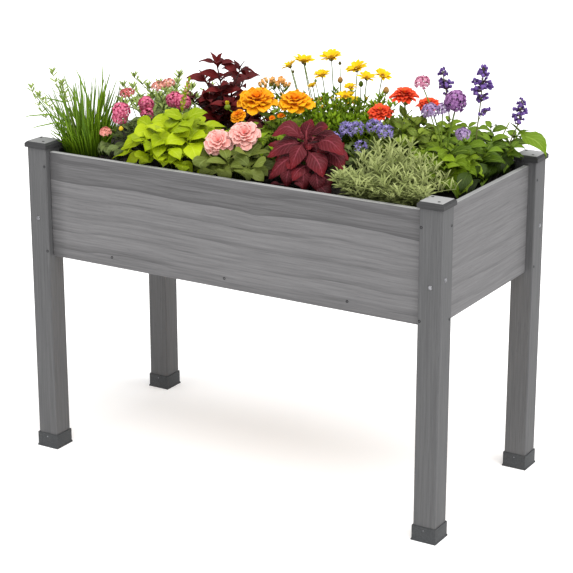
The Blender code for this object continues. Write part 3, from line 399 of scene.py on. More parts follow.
class Form:
    """A shape along Y from 0 to 1, shaped ring by ring from a ball.

    stations holds (along, half width, half thickness) for each ring. relief gives how far a
    column of a ring moves along and up. A notch draws every second side in.
    """

    def __init__(self, sides, stations, relief=None, notches=None):
        rings = len(stations) + 1
        bpy.ops.object.select_all(action="DESELECT")
        bpy.ops.mesh.primitive_uv_sphere_add(
            segments=sides, ring_count=rings, radius=1.0, rotation=(-math.pi / 2, 0.0, 0.0)
        )
        bpy.ops.object.transform_apply(location=False, rotation=True, scale=False)
        ball = bpy.context.object
        start = places(ball.data)
        polar = np.arccos(np.clip(-start[:, 1], -1.0, 1.0))
        ring = np.rint(polar / math.pi * rings).astype(int)
        reach = np.maximum(np.hypot(start[:, 0], start[:, 2]), 1e-6)
        inner = (ring > 0) & (ring < rings)
        across = np.where(inner, np.round(start[:, 0] / reach, 3), 0.0)
        turn = np.arctan2(start[:, 2], start[:, 0])
        number = np.rint(turn / (2 * math.pi) * sides).astype(int) % 2
        bpy.ops.object.mode_set(mode="EDIT")
        pick(ball, ring == 0)
        bpy.ops.transform.translate(value=(0.0, 1.0, 0.0))
        for index, (along, width, thick) in enumerate(stations, 1):
            level = -math.cos(math.pi * index / rings)
            girth = math.sin(math.pi * index / rings)
            pick(ball, ring == index)
            size = (width / girth, 1.0, thick / girth)
            bpy.ops.transform.resize(value=size, center_override=(0.0, level, 0.0))
            bpy.ops.transform.translate(value=(0.0, along - level, 0.0))
            notch = notches[index - 1] if notches else 1.0
            if notch != 1.0:
                pick(ball, (ring == index) & (number == 1))
                size = (notch, 1.0, notch)
                bpy.ops.transform.resize(value=size, center_override=(0.0, along, 0.0))
            for column in np.unique(across[ring == index]) if relief else ():
                shift, lift = relief(column, along, index)
                pick(ball, (ring == index) & (across == column))
                bpy.ops.transform.translate(value=(0.0, shift, lift))
        bpy.ops.mesh.select_all(action="SELECT")
        bpy.ops.mesh.quads_convert_to_tris()
        bpy.ops.object.mode_set(mode="OBJECT")
        self.points = places(ball.data)
        self.faces = np.array([face.vertices[:] for face in ball.data.polygons])
        self.uv = np.column_stack([0.5 + across / 2, np.clip(ring / rings, 0.0, 1.0)])
        bpy.data.objects.remove(ball)


def outline(thick, *widths):
    """Evenly spaced stations with these half widths."""
    first, last = 0.08, 0.95
    steps = len(widths) - 1
    stations = []
    for index, width in enumerate(widths):
        along = first + (last - first) * index / steps
        stations.append((along, width, max(thick * min(1.0, 2.5 * width), 0.004)))
    return stations


def folded(fold, wave):
    """Edges raised from the midrib, and waved twice along the blade."""

    def relief(across, along, ring):
        ripple = wave * math.sin(along * 2.0 * 2 * math.pi + (1.5 if across > 0 else 0.0))
        return 0.0, abs(across) * (fold + ripple)

    return relief


def quilted(across, along, ring):
    """Flesh puffed up between the side veins, and an edge of small teeth."""
    off_rib = abs(across)
    puff = 0.10 if ring % 2 else -0.02
    lift = off_rib * (1 - off_rib) * 4 * puff - 0.16 * off_rib**2
    tooth = 0.022 if off_rib == 1 and ring % 2 else 0.0
    return tooth, lift + 0.05 * math.sin(along * 9.0) * across


def frilled(across, along, ring):
    """The petal's end ruffled and toothed."""
    outer = max(0.0, along - 0.25) ** 1.5
    lift = 0.42 * outer * math.sin(across * 7.5 + 0.6) + 0.22 * across**2
    tooth = (0.055 if round(abs(across) * 4) % 2 else -0.035) if along > 0.8 else 0.0
    return tooth - 0.14 * across**2 * (along > 0.7), lift


def cupped(across, along, ring):
    return -0.10 * across**2 * (along > 0.7), 0.26 * across**2 + 0.10 * along


def make_forms():
    tapering = [(0.01 + 0.98 * i / 5, 1.0 - 0.04 * i, 1.0 - 0.04 * i) for i in range(6)]
    return {
        "broad": Form(8, outline(0.03, 0.07, 0.10, 0.62, 0.95, 1.0, 0.90, 0.68, 0.38, 0.12),
                      folded(0.16, 0.07)),
        "pointed": Form(8, outline(0.04, 0.08, 0.34, 0.80, 1.0, 0.92, 0.66, 0.34, 0.10),
                        folded(0.22, 0.05)),
        "oval": Form(8, outline(0.035, 0.10, 0.20, 0.62, 0.92, 1.0, 0.90, 0.64, 0.26),
                     folded(0.18, 0.05)),
        "lance": Form(4, outline(0.045, 0.12, 0.60, 0.95, 0.98, 0.78, 0.46, 0.14),
                      folded(0.22, 0.05)),
        "quilted": Form(12, outline(0.03, 0.06, 0.22, 0.56, 0.80, 0.93, 0.99, 1.0, 0.96, 0.88,
                                    0.76, 0.62, 0.46, 0.30, 0.14), quilted),
        "needle": Form(4, ((0.10, 0.6, 0.25), (0.40, 1.0, 0.3), (0.75, 0.8, 0.25))),
        "strap": Form(6, ((0.10, 0.55, 0.2), (0.45, 1.0, 0.2), (0.80, 0.75, 0.15))),
        "grass": Form(5, ((0.03, 0.8, 0.7), (0.30, 1.0, 0.8), (0.62, 0.90, 0.7),
                          (0.88, 0.58, 0.5))),
        "stem": Form(5, tapering),
        "frilled": Form(12, ((0.10, 0.34, 0.03), (0.34, 0.68, 0.03), (0.60, 0.90, 0.03),
                             (0.82, 1.0, 0.03), (0.95, 0.92, 0.03)), frilled),
        "layered": Form(8, ((0.12, 0.46, 0.05), (0.38, 0.80, 0.04), (0.64, 1.0, 0.04),
                            (0.86, 0.96, 0.04), (0.97, 0.72, 0.03)), cupped),
        "ray": Form(8, ((0.10, 0.40, 0.06), (0.40, 0.86, 0.06), (0.74, 1.0, 0.06),
                        (0.96, 0.60, 0.05)), cupped),
        "floret": Form(10, ((0.58, 0.16, 0.16), (0.90, 1.0, 1.0), (0.98, 0.52, 0.52)),
                       notches=(1.0, 0.42, 0.5)),
        "star": Form(12, ((0.10, 0.10, 0.10), (0.58, 0.16, 0.16), (0.95, 1.0, 1.0),
                          (0.90, 0.30, 0.30)), notches=(1.0, 1.0, 0.26, 0.8)),
        "lip": Form(6, ((0.15, 0.45, 0.5), (0.50, 0.62, 0.62), (0.80, 1.0, 0.9),
                        (0.97, 0.7, 0.5))),
        "bead": Form(6, ((0.14, 0.66, 0.66), (0.46, 1.0, 1.0), (0.80, 0.80, 0.80))),
        "bud": Form(8, ((0.10, 0.60, 0.60), (0.36, 1.0, 1.0), (0.66, 0.86, 0.86),
                        (0.92, 0.42, 0.42))),
    }


# Routes

def arc(base, heading, rise, fall, length, steps=7):
    """Points of a blade that leaves base at the angle rise and ends at the angle fall."""
    tilt = rise + (fall - rise) * (np.arange(steps) + 0.5) / steps
    flat = np.cos(tilt)
    along = np.column_stack([math.cos(heading) * flat, math.sin(heading) * flat, np.sin(tilt)])
    points = np.vstack([np.zeros(3), np.cumsum(along, axis=0)]) * length / steps
    return points + np.asarray(base)


def bend(base, top, amount=0.55, steps=8):
    """A stem that starts upright and leans over to its top."""
    base = np.asarray(base, float)
    top = np.asarray(top, float)
    knee = np.array([base[0], base[1], base[2] + (top[2] - base[2]) * amount])
    t = np.linspace(0.0, 1.0, steps + 1)[:, None]
    return base * (1 - t) ** 2 + knee * 2 * t * (1 - t) + top * t * t


def through(points, steps=16):
    """A smooth route through these points."""
    points = np.asarray(points, float)
    ends = np.vstack([2 * points[0] - points[1], points, 2 * points[-1] - points[-2]])
    route = []
    for place in np.linspace(0.0, len(points) - 1.0001, steps + 1):
        index = int(place)
        t = place - index
        a, b, c, d = ends[index : index + 4]
        route.append(
            b + 0.5 * t * (c - a + t * (2 * a - 5 * b + 4 * c - d + t * (3 * (b - c) + d - a)))
        )
    return np.array(route)


def on(route, t):
    place = max(0.0, min(t, 0.9999)) * (len(route) - 1)
    index = int(place)
    return route[index] * (1 - place + index) + route[index + 1] * (place - index)


def unit(vector):
    vector = np.asarray(vector, float)
    return vector / np.linalg.norm(vector)


def toward(heading, out, up=0.0):
    """A step this far out at this heading, and this far up."""
    return np.array((math.cos(heading) * out, math.sin(heading) * out, up))


def right_of(heading):
    return np.array((math.sin(heading), -math.cos(heading), 0.0))


def beside(axis):
    """A direction square to this one."""
    helper = (1.0, 0.0, 0.0) if abs(axis[0]) < 0.8 else (0.0, 1.0, 0.0)
    return unit(np.cross(axis, helper))


def scattered(count, widest):
    """Directions spread evenly over a cap round Z, out to the angle widest."""
    for index in range(count):
        z = 1 - (1 - math.cos(widest)) * (index + 0.5) / count
        yield toward(index * GOLDEN, math.sqrt(max(0.0, 1 - z * z)), z)


def fences(plot):
    """The upright planes between this plot and the others, as (outward normal, distance)."""
    x, y, spread, _ = PLOTS[plot]
    for other, (other_x, other_y, other_spread, _) in PLOTS.items():
        if other == plot:
            continue
        away = np.array([other_x - x, other_y - y, 0.0])
        gap = np.linalg.norm(away)
        reach = (gap**2 + spread**2 - other_spread**2) / (2 * gap)
        normal = away / gap
        yield normal, normal @ (x, y, 0.0) + reach + SLACK


class Growth:
    """One piece of the planting, gathered copy by copy into a single mesh.

    A leaf's size is its length and its width, and its tilt is the angle at which it leaves its
    stem and the one at which it ends. The finishes are those of the leaves and of the stems.
    """

    def __init__(self, name, seed, plot=None):
        self.name = name
        self.random = random.Random(seed)
        self.finishes = []
        self.copies = []
        self.count = 0
        self.planes = list(fences(plot)) if plot else []
        if plot:
            self.x, self.y, _, self.crown = PLOTS[plot]

    def hold(self, points):
        """Presses leaves back inside the liner and the caps, and lightly into their plot."""
        x, y, z = points.T
        spill = np.maximum(0.0, z - RIM - SPILL_UP) * SPILL
        for limit, values in ((LEAF_X + spill, x), (LEAF_Y + spill, y)):
            for sign in (-1, 1):
                past = np.maximum(0.0, sign * values - limit)
                values -= sign * past * (1 - PRESSED)
        by_post = (np.abs(x) > POST_X) & (np.abs(y) > POST_Y) & (z < CAP_TOP + 0.003)
        nearer_x = np.abs(x) - POST_X < np.abs(y) - POST_Y
        x[by_post & nearer_x] = (np.sign(x) * POST_X)[by_post & nearer_x]
        y[by_post & ~nearer_x] = (np.sign(y) * POST_Y)[by_post & ~nearer_x]
        for normal, distance in self.planes:
            past = np.maximum(0.0, points @ normal - distance)
            points -= normal * past[:, None] * FENCED
        return points

    def lay(self, form, spine, side, width, finish, tint=None, roll=0.0, twist=0.0, held=True):
        """Bends a copy of the form along the spine. side points to its right-hand edge."""
        form = FORMS[form]
        spine = np.asarray(spine, float)
        last = len(spine) - 1
        ahead = np.gradient(spine, axis=0)
        ahead /= np.linalg.norm(ahead, axis=1)[:, None]
        sides = np.asarray(side, float) - ahead * (ahead @ np.asarray(side, float))[:, None]
        sides /= np.linalg.norm(sides, axis=1)[:, None]
        above = np.cross(sides, ahead)
        turn = (roll + twist * np.linspace(0.0, 1.0, last + 1))[:, None]
        sides, above = (
            sides * np.cos(turn) + above * np.sin(turn),
            above * np.cos(turn) - sides * np.sin(turn),
        )
        place = form.points[:, 1] * last
        index = np.clip(place.astype(int), 0, last - 1)
        share = (place - index)[:, None]
        centre, right, raised = (
            row[index] * (1 - share) + row[index + 1] * share for row in (spine, sides, above)
        )
        points = centre + (right * form.points[:, :1] + raised * form.points[:, 2:]) * width
        if held:
            points = self.hold(points)
        if finish not in self.finishes:
            self.finishes.append(finish)
        if tint is None:
            tint = self.random.random()
        self.copies.append((form, points, self.count, self.finishes.index(finish), tint))
        self.count += len(points)

    def inside(self, points):
        """Whether these points stay within the liner, or well over its rim."""
        spill = np.maximum(0.0, points[:, 2] - RIM - SPILL_UP) * SPILL
        reach = np.abs(points)
        return np.all(reach[:, 0] < LINER_X + spill) and np.all(reach[:, 1] < LINER_Y + spill)

    def leaf(self, form, base, heading, rise, fall, length, width, finish, pressed=False):
        """A leaf of this length and width that arches from rise to fall.

        Near a wall it turns aside and stays shorter, unless it is pressed against the wall.
        """
        for turn in TURNS_ASIDE:
            if pressed or self.inside(arc(base, heading, rise, fall, length)):
                break
            heading += turn
            length *= SHORTER
            width *= NARROWER
        sideways = math.sin(heading) * SUNNY_SIDE[0] - math.cos(heading) * SUNNY_SIDE[1]
        roll = self.random.uniform(-0.25, 0.25) - TURNED * sideways
        twist = self.random.uniform(-0.25, 0.25)
        spine = arc(base, heading, rise, fall, length)
        self.lay(form, spine, right_of(heading), width / 2, finish, roll=roll, twist=twist)

    def drape(self, form, points, width, finish, twist):
        """A leaf laid through these points, with its upper side to the front."""
        route = through(points, 8)
        side = np.cross(route[-1] - route[0], (0.25, -0.60, 0.75))
        self.lay(form, route, side, width / 2, finish, twist=twist, held=False)

    def stem(self, route, radius, finish, held=True):
        side = beside(unit(route[-1] - route[0]))
        self.lay("stem", route, side, radius, finish, held=held)

    def root(self, index, count, wide=0.65):
        """Where a stem leaves the crown, with its heading and its share of the radius."""
        share = math.sqrt((index + 0.5) / count)
        heading = index * GOLDEN
        spot = (self.x, self.y, ROOT_Z) + toward(heading, self.crown * wide * share)
        return spot, heading, share

    def route(self, index, count, top):
        """The way of one stem of so many from the crown to its top."""
        return bend(self.root(index, count)[0], top)

    def bear(self, top, index, count, radius, finish):
        """The stalk under a flower."""
        route = self.route(index, count, top)
        self.stem(route, radius, finish)
        return route

    def spread(self, count, out, rise, wide=0.65, start=0.0, flat=1.0, first=0):
        """Routes for stems all round the crown, from first on.

        A stem's top is start out from its root in the middle, and out farther at the crown's edge.
        rise gives its height by how far along the radius it roots, and flat is what is left of
        its reach from front to back.
        """
        for index in range(first, count):
            root, heading, share = self.root(index, count, wide)
            lean = toward(heading, start + out * share, rise(share))
            yield bend(root, root + lean * (1.0, flat, 1.0))

    def shoot(self, route, tiers, form, size, tilt, finishes, radius=0.0022, low=0.25,
              whorl=2, taper=0.5, tuft=True):
        """A stem with tiers of leaves that shorten and stand up towards its top.

        low is where on the stem they start, whorl how many a tier has, taper how much they
        shorten, and tuft whether a last small tier stands on top.
        """
        leaf_look, stem_look = finishes
        length, width = size
        rise, fall = tilt
        self.stem(route, radius, stem_look)
        start = self.random.uniform(0, 2 * math.pi)
        for tier in range(tiers):
            t = low + (0.99 - low) * (tier + 0.5) / tiers
            scale = 1.1 - taper * t**2
            for index in range(whorl):
                heading = start + tier * math.pi / whorl + index * 2 * math.pi / whorl
                heading += self.random.uniform(-0.22, 0.22)
                reach = scale * self.random.uniform(0.88, 1.1)
                up = 0.45 * t + self.random.uniform(-0.12, 0.12)
                self.leaf(form, on(route, t), heading, rise + up, fall + up, length * reach,
                          width * reach, leaf_look)
        for index in range(whorl if tuft else 0):
            heading = start + tiers * math.pi / whorl + index * 2 * math.pi / whorl
            small = 1.0 - taper
            self.leaf(form, on(route, 0.99), heading, rise + 0.50, fall + 0.60, length * small,
                      width * small, leaf_look)

    def skirt(self, count, form, size, finishes, reach, rise, tilt, wide=1.0):
        """Stalked leaves low round the crown, which hide the soil.

        rise is their height at the crown's edge and at its middle.
        """
        leaf_look, stem_look = finishes
        low, high = rise
        for index in range(count):
            root, heading, share = self.root(index, count, wide)
            heading += self.random.uniform(-0.3, 0.3)
            out = reach * (0.35 + 0.65 * share)
            up = high + (low - high) * share + self.random.uniform(-0.006, 0.006)
            top = root + toward(heading, out, up)
            self.stem(bend(root, top, 0.7, 5), LEAF_STALK, stem_look)
            scale = self.random.uniform(0.8, 1.15)
            self.leaf(form, top, heading, tilt[0] + self.random.uniform(-0.2, 0.2), tilt[1],
                      size[0] * scale, size[1] * scale, leaf_look)

    def fringe(self, count, along, form, size, finishes, rim="front"):
        """Low leaves in a row beside the front or the right rim, between two places along it.

        Those at the right hang over from the height of the rim.
        """
        leaf_look, stem_look = finishes
        chance = self.random
        for index in range(count):
            spot = along[0] + (along[1] - along[0]) * (index + chance.uniform(0.2, 0.8)) / count
            inward = chance.uniform(0.0, 0.022)
            level = ROOT_Z + 0.040 + chance.uniform(-0.008, 0.014)
            heading = -math.pi / 2 + chance.uniform(-0.9, 0.9)
            rise, fall = 0.45, -1.0
            top = np.array((spot, inward - FRINGE_Y, level))
            if rim == "right":
                top = np.array((FRINGE_X - inward, spot, RIM + chance.uniform(0.004, 0.050)))
                heading = chance.uniform(-2.2, -1.3)
                rise, fall = 0.10, -1.45
            root = np.array((top[0] * 0.94, top[1] * 0.90, ROOT_Z))
            self.stem(bend(root, top, 0.6, 5), LEAF_STALK, stem_look)
            scale = chance.uniform(0.85, 1.15)
            self.leaf(form, top, heading, rise, fall, size[0] * scale, size[1] * scale, leaf_look,
                      rim == "front")

    def thicket(self, count, low, high, heights, tiers, form, size, finishes):
        """Leafy shoots that stand all over a strip of soil, between two of its corners."""
        chance = self.random
        for index in range(count):
            x = low[0] + (high[0] - low[0]) * (index + chance.uniform(0.1, 0.9)) / count
            y = chance.uniform(low[1], high[1])
            root = np.array((x, y, ROOT_Z))
            sideways = chance.uniform(-0.02, 0.02)
            back = chance.uniform(-0.02, 0.01)
            top = root + (sideways, back, chance.uniform(*heights))
            self.shoot(bend(root, top), tiers, form, size, (0.65, -0.45), finishes,
                       radius=0.0015, low=0.20)

    def feather(self, base, heading, rise, fall, length, pairs, size, finishes):
        """A divided leaf: a thin rib with narrow leaflets on both sides."""
        leaf_look, stem_look = finishes
        route = arc(base, heading, rise, fall, length)
        self.stem(route, 0.0007, stem_look)
        for index in range(pairs):
            t = 0.22 + 0.78 * (index + 0.5) / pairs
            tilt = rise + (fall - rise) * t
            reach = size * math.sin(math.pi * (0.25 + 0.6 * t))
            for turn in (-0.85, 0.85):
                self.leaf("needle", on(route, t), heading + turn, tilt + 0.15, tilt - 0.3, reach,
                          reach * 0.28, leaf_look)
        self.leaf("needle", route[-1], heading, fall, fall - 0.2, size * 0.8, size * 0.26,
                  leaf_look)

    def piece(self, slot, *nodes):
        """Makes the mesh and lets it stand for its CAD nodes, where it has any."""
        forms, points, firsts, finish_of, tints = zip(*self.copies)
        corners_of = np.vstack([form.faces + first for form, first in zip(forms, firsts)])
        mesh = bpy.data.meshes.new(self.name)
        mesh.from_pydata(np.vstack(points).tolist(), [], corners_of.tolist())
        finish_of = np.repeat(finish_of, [len(form.faces) for form in forms])
        mesh.polygons.foreach_set("material_index", finish_of)
        uv = np.vstack([form.uv for form in forms])
        layer = mesh.uv_layers.new(name="along_the_leaf")
        layer.data.foreach_set("uv", uv[corners_of.ravel()].ravel())
        shade = mesh.attributes.new("tint", "FLOAT", "POINT")
        shade.data.foreach_set("value", np.repeat(tints, [len(part) for part in points]))
        for finish in self.finishes:
            mesh.materials.append(LOOK[finish])
        mesh.shade_smooth()
        mesh.set_sharp_from_angle(angle=math.radians(75))
        made = bpy.data.objects.new(self.name, mesh)
        bpy.context.scene.collection.objects.link(made)
        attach(made, "root")
        if nodes:
            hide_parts(*nodes)


class Bloom:
    """A flower round its own axis, laid petal by petal into a growth."""

    def __init__(self, growth, base, axis):
        self.growth = growth
        self.base = np.asarray(base, float)
        self.axis = unit(axis)
        right = beside(self.axis)
        self.turn = np.array([right, np.cross(self.axis, right), self.axis])

    def out(self, local):
        return self.base + np.asarray(local, float) @ self.turn

    def ring(self, form, count, out, up, tilt, length, width, finish, tint=0.0, uneven=0.1):
        """Petals all round. tilt is (rise, fall) in degrees."""
        rise, fall = (math.radians(angle) for angle in tilt)
        chance = self.growth.random
        start = chance.uniform(0, 2 * math.pi)
        for index in range(count):
            heading = start + (index + chance.uniform(-0.22, 0.22)) * 2 * math.pi / count
            reach = length * chance.uniform(1 - uneven, 1 + uneven)
            lean = chance.uniform(-0.12, 0.12)
            shade = min(1.0, max(0.0, tint + chance.uniform(-0.12, 0.12)))
            start_of = toward(heading, out, up)
            spine = self.out(arc(start_of, heading, rise + lean, fall + lean, reach, 5))
            self.growth.lay(form, spine, right_of(heading) @ self.turn, width / 2, finish, shade,
                            roll=chance.uniform(-0.2, 0.2), held=False)

    def rings(self, form, size, finish, rings, deeper=0.0, uneven=0.1):
        """Rings over one another, each as (petals, out, up, tilt, length, width, tint).

        Their measures are shares of the bloom's size, which is its radius and its height.
        """
        radius, height = size
        for count, out, up, tilt, length, width, tint in rings:
            self.ring(form, count, out * radius, up * height, tilt, length * radius,
                      width * radius, finish, tint + deeper, uneven)

    def stub(self, form, low, high, width, finish, tint=None):
        """A form straight up the axis, between two heights."""
        spine = self.out([(0, 0, low + (high - low) * i / 4) for i in range(5)])
        self.growth.lay(form, spine, self.turn[0], width, finish, tint, held=False)

    def studs(self, form, count, widest, centre, radius, height, length, width, finish,
              tint=None):
        """Florets that stand out all over a rounded head, with a tint by the way they face."""
        chance = self.growth.random
        for way in scattered(count, widest):
            foot = np.array((way[0] * radius, way[1] * radius, way[2] * height)) + centre
            way = unit(way + np.array([chance.uniform(-0.26, 0.26) for _ in range(3)]))
            reach = length * chance.uniform(0.72, 1.28)
            spine = self.out([foot + way * reach * t for t in (0.0, 0.5, 1.0)])
            shade = tint(way) if tint else None
            self.growth.lay(form, spine, beside(way @ self.turn), width, finish, shade,
                            roll=chance.uniform(0, 3.14), held=False)


# Plants, from the left end to the right

def grow_chives():
    """A clump of round blades. Some arch out over the rim, with thin sprigs among them."""
    clump = Growth("grown_chives", 3, "chives")
    chance = clump.random
    blades = 260
    for index in range(blades):
        base, heading, share = clump.root(index, blades, 1.3)
        base[0] = clump.x - 0.016 + (base[0] - clump.x) * 1.15
        heading += chance.uniform(-0.8, 0.8)
        lean = math.radians(2 + 25 * share**1.5 + chance.uniform(-8, 11))
        if math.cos(heading) > 0.3:
            lean *= 0.75
        length = 0.10 + 0.145 * chance.random() ** 1.5 - 0.02 * share
        droop = chance.choice((1.1, 1.4, 1.9, 2.7))
        spine = arc(base, heading, math.pi / 2 - lean * 0.4, math.pi / 2 - lean * droop, length)
        clump.lay("grass", spine, right_of(heading), chance.uniform(0.0015, 0.0026), "chive_green",
                  twist=chance.uniform(-1, 1))
    root = np.array((clump.x - 0.02, clump.y - 0.02, ROOT_Z))
    long_blades = (
        ((-0.500, -0.165, 0.900), (-0.512, -0.162, 0.980), (-0.550, -0.160, 1.044)),
        ((-0.478, -0.160, 0.900), (-0.466, -0.152, 0.985), (-0.462, -0.150, 1.066)),
        ((-0.480, -0.150, 0.900), (-0.468, -0.145, 0.970), (-0.441, -0.140, 1.046)),
        ((-0.500, -0.180, 0.890), (-0.494, -0.180, 0.960), (-0.507, -0.180, 1.030)),
        ((-0.488, -0.165, 0.890), (-0.488, -0.160, 0.945), (-0.476, -0.160, 1.012)),
        ((-0.510, -0.175, 0.890), (-0.530, -0.170, 0.950), (-0.575, -0.170, 1.004)),
        ((-0.480, -0.160, 0.890), (-0.450, -0.160, 0.940), (-0.432, -0.160, 0.996)),
    )
    arching = (
        ((-0.530, -0.205, 0.893), (-0.600, -0.222, 0.922), (-0.674, -0.240, 0.904)),
        ((-0.528, -0.180, 0.905), (-0.578, -0.190, 0.955), (-0.640, -0.205, 0.956)),
        ((-0.520, -0.190, 0.885), (-0.570, -0.230, 0.903), (-0.648, -0.242, 0.876)),
    )
    for route in long_blades:
        clump.lay("grass", through((root, *route)), (0, 1, 0.2), 0.0029, "chive_green", held=False)
    for route in arching:
        clump.lay("grass", through((root, *route)), (0, 0.3, 1), 0.0026, "chive_green", held=False)
    sprigs = (
        ((-0.555, -0.205, 0.866), (-0.612, -0.212, 0.908), (-0.657, -0.212, 0.984)),
        ((-0.540, -0.200, 0.875), (-0.590, -0.208, 0.930), (-0.640, -0.205, 0.962)),
        ((-0.530, -0.200, 0.900), (-0.562, -0.200, 0.960), (-0.592, -0.200, 1.030)),
        ((-0.515, -0.200, 0.900), (-0.545, -0.200, 0.955), (-0.562, -0.200, 1.002)),
    )
    clump.planes = []  # the sprigs lean out over the end
    for route in sprigs:
        wisp(clump, through((root, *route)), 5, 0.62, 0.020)
    clump.piece("green_leaf", "chives")


def wisp(plant, route, tiers, low, leaf=0.022):
    """A thin stem with spaced whorls of narrow leaves, and a spread tip."""
    size = (leaf, leaf * SPRIG_SHAPE)
    plant.shoot(route, tiers, "needle", size, (0.45, 0.05), ("sprig_leaf", "sprig_stem"),
                radius=0.0011, low=low, whorl=3, taper=0.10, tuft=False)
    for index in range(5):
        plant.leaf("needle", on(route, 0.985), index * 1.7, 1.15, 0.80, *size, "sprig_leaf")


def cluster_head(growth, base, axis, size, count, floret, looks, widest, tint=None):
    """A rounded head of small florets over a small core. size is its radius and its height."""
    form, look, core = looks
    radius, height = size
    bloom = Bloom(growth, base, axis)
    bloom.stub("bead", 0.0, height * 0.6, radius * 0.45, core)
    bloom.studs(form, count, widest, (0, 0, height * 0.42), radius * 0.62, height * 0.34,
                floret * 1.3, floret, look, None if tint is None else lambda way: tint)


def grow_pink_clusters():
    """Rounded heads of pink florets over dull green leaves."""
    plant = Growth("grown_pink_cluster_leaves", 5, "pink_cluster_leaves")
    looks = ("dull_green_leaf", "dull_green_stem")
    upright = (0.1, -0.45, 0.88)
    # Each head is made of two lumps, each as (middle, radius, height, florets)
    heads = {
        "pink_cluster_front": (((-0.378, -0.190, 0.950), 0.0205, 0.038, 60),
                               ((-0.384, -0.190, 0.932), 0.0170, 0.030, 38)),
        "pink_cluster_middle": (((-0.377, -0.080, 0.948), 0.0170, 0.034, 52),
                                ((-0.366, -0.090, 0.924), 0.0110, 0.024, 26)),
        "pink_cluster_back": (((-0.322, -0.030, 0.956), 0.0190, 0.034, 52),
                              ((-0.292, -0.032, 0.952), 0.0190, 0.034, 52)),
    }
    stalks = 9
    for index, (name, lumps) in enumerate(heads.items()):
        head = Growth(name + "_in_flower", 60 + index)
        for centre, radius, height, count in lumps:
            base = np.array(centre) - unit(upright) * height / 2
            cluster_head(head, base, upright, (radius, height), count, 0.0074,
                         ("floret", "pink_floret", "pink_floret"), 2.2, 0.15)
            route = plant.bear(base, index, stalks, 0.0018, looks[1])
            for twig in range(4):
                plant.leaf("lance", on(route, 0.5 + 0.1 * twig), 2.4 * twig + index, 0.8, -0.1,
                           0.034, 0.011, looks[0])
        head.piece("pink_floret", name)
    # Each flat head as (top, radius, height by its radius, tint)
    small = (
        ((-0.388, -0.004, 0.976), 0.019, 0.7, 0.1),
        ((-0.431, -0.090, 0.970), 0.020, 0.5, 0.9),
        ((-0.362, 0.008, 0.985), 0.016, 0.8, 0.1),
        ((-0.406, -0.222, 0.893), 0.012, 0.9, 0.3),
    )
    for index, (top, radius, tall, tint) in enumerate(small):
        plant.bear(top, index + 3, stalks, 0.0014, looks[1])
        cluster_head(plant, np.array(top) - (0, 0, 0.003), (0.1, -0.3, 0.95),
                     (radius, radius * tall), 26, 0.0062,
                     ("floret", "salmon_floret", "dull_green_stem"), 1.5, tint)
    bud = (-0.363, -0.212, 0.903)
    plant.bear(bud, 8, stalks, 0.0012, looks[1])
    Bloom(plant, bud, (0, -0.2, 1)).stub("bud", -0.002, 0.012, 0.0065, "yellow_bud")
    for route in plant.spread(14, 0.085, lambda share: 0.120 - 0.06 * share, start=0.025, flat=1.2):
        plant.shoot(route, 4, "lance", (0.046, 0.016), (0.65, -0.35), looks, radius=0.0014, low=0.3)
    plant.skirt(26, "lance", (0.056, 0.023), looks, 0.110, (0.026, 0.055), (0.45, -0.8))
    plant.fringe(7, (-0.455, -0.345), "lance", (0.050, 0.021), looks)
    plant.piece("dull_green_leaf", "pink_cluster_leaves")


def grow_wispy_sprigs():
    """Thin upright sprigs with whorls of narrow leaves, behind the pink clusters."""
    plant = Growth("grown_wispy_sprigs", 7, "wispy_sprigs")
    tops = (
        (-0.503, 0.040, 0.985),
        (-0.543, 0.040, 0.955),
        (-0.471, 0.060, 0.958),
        (-0.446, 0.080, 0.964),
        (-0.376, 0.080, 0.996),
        (-0.490, 0.170, 0.935),
        (-0.400, 0.180, 0.940),
    )
    for index, top in enumerate(tops):
        wisp(plant, plant.route(index, len(tops), top), 8, 0.30)
    for route in plant.spread(32, 0.135, lambda share: plant.random.uniform(0.08, 0.135), 1.2):
        wisp(plant, route, 6, 0.15, 0.026)
    plant.thicket(14, (-0.530, 0.130), (-0.340, 0.232), (0.04, 0.09), 6, "needle", (0.026, 0.006),
                  ("sprig_leaf", "sprig_stem"))
    plant.piece("dull_green_leaf", "wispy_sprigs")


def grow_lime():
    """Broad smooth lime-green leaves that droop at the tips, and one stalk of buds."""
    plant = Growth("grown_lime_leaves", 9, "lime_leaves")
    looks = ("lime_leaf", "lime_stem")
    shoots = 9
    for route in plant.spread(shoots, 0.090, lambda share: 0.145 - 0.070 * share):
        plant.shoot(route, 3, "broad", (0.090, 0.050), (0.50, -0.95), looks, radius=0.0024,
                    low=0.35, taper=0.25)
    plant.skirt(15, "broad", (0.082, 0.046), looks, 0.085, (0.030, 0.055), (0.35, -1.2))
    plant.skirt(14, "broad", (0.078, 0.044), looks, 0.080, (0.070, 0.090), (0.30, -1.3))
    plant.fringe(7, (-0.262, -0.125), "broad", (0.068, 0.042), looks)
    spike = plant.route(1, shoots, (-0.198, -0.135, 1.040))
    plant.shoot(spike, 7, "needle", (0.017, 0.0075), (1.0, 0.6), looks, radius=0.0018, low=0.60,
                whorl=4, taper=0.4)
    for index in range(16):
        bud = Bloom(plant, on(spike, 0.66 + 0.02 * index), toward(index * GOLDEN, 1.0, 0.8))
        bud.stub("bud", 0.002, 0.011, 0.0028, "blush_bud")
    plant.piece("lime_leaf", "lime_leaves")


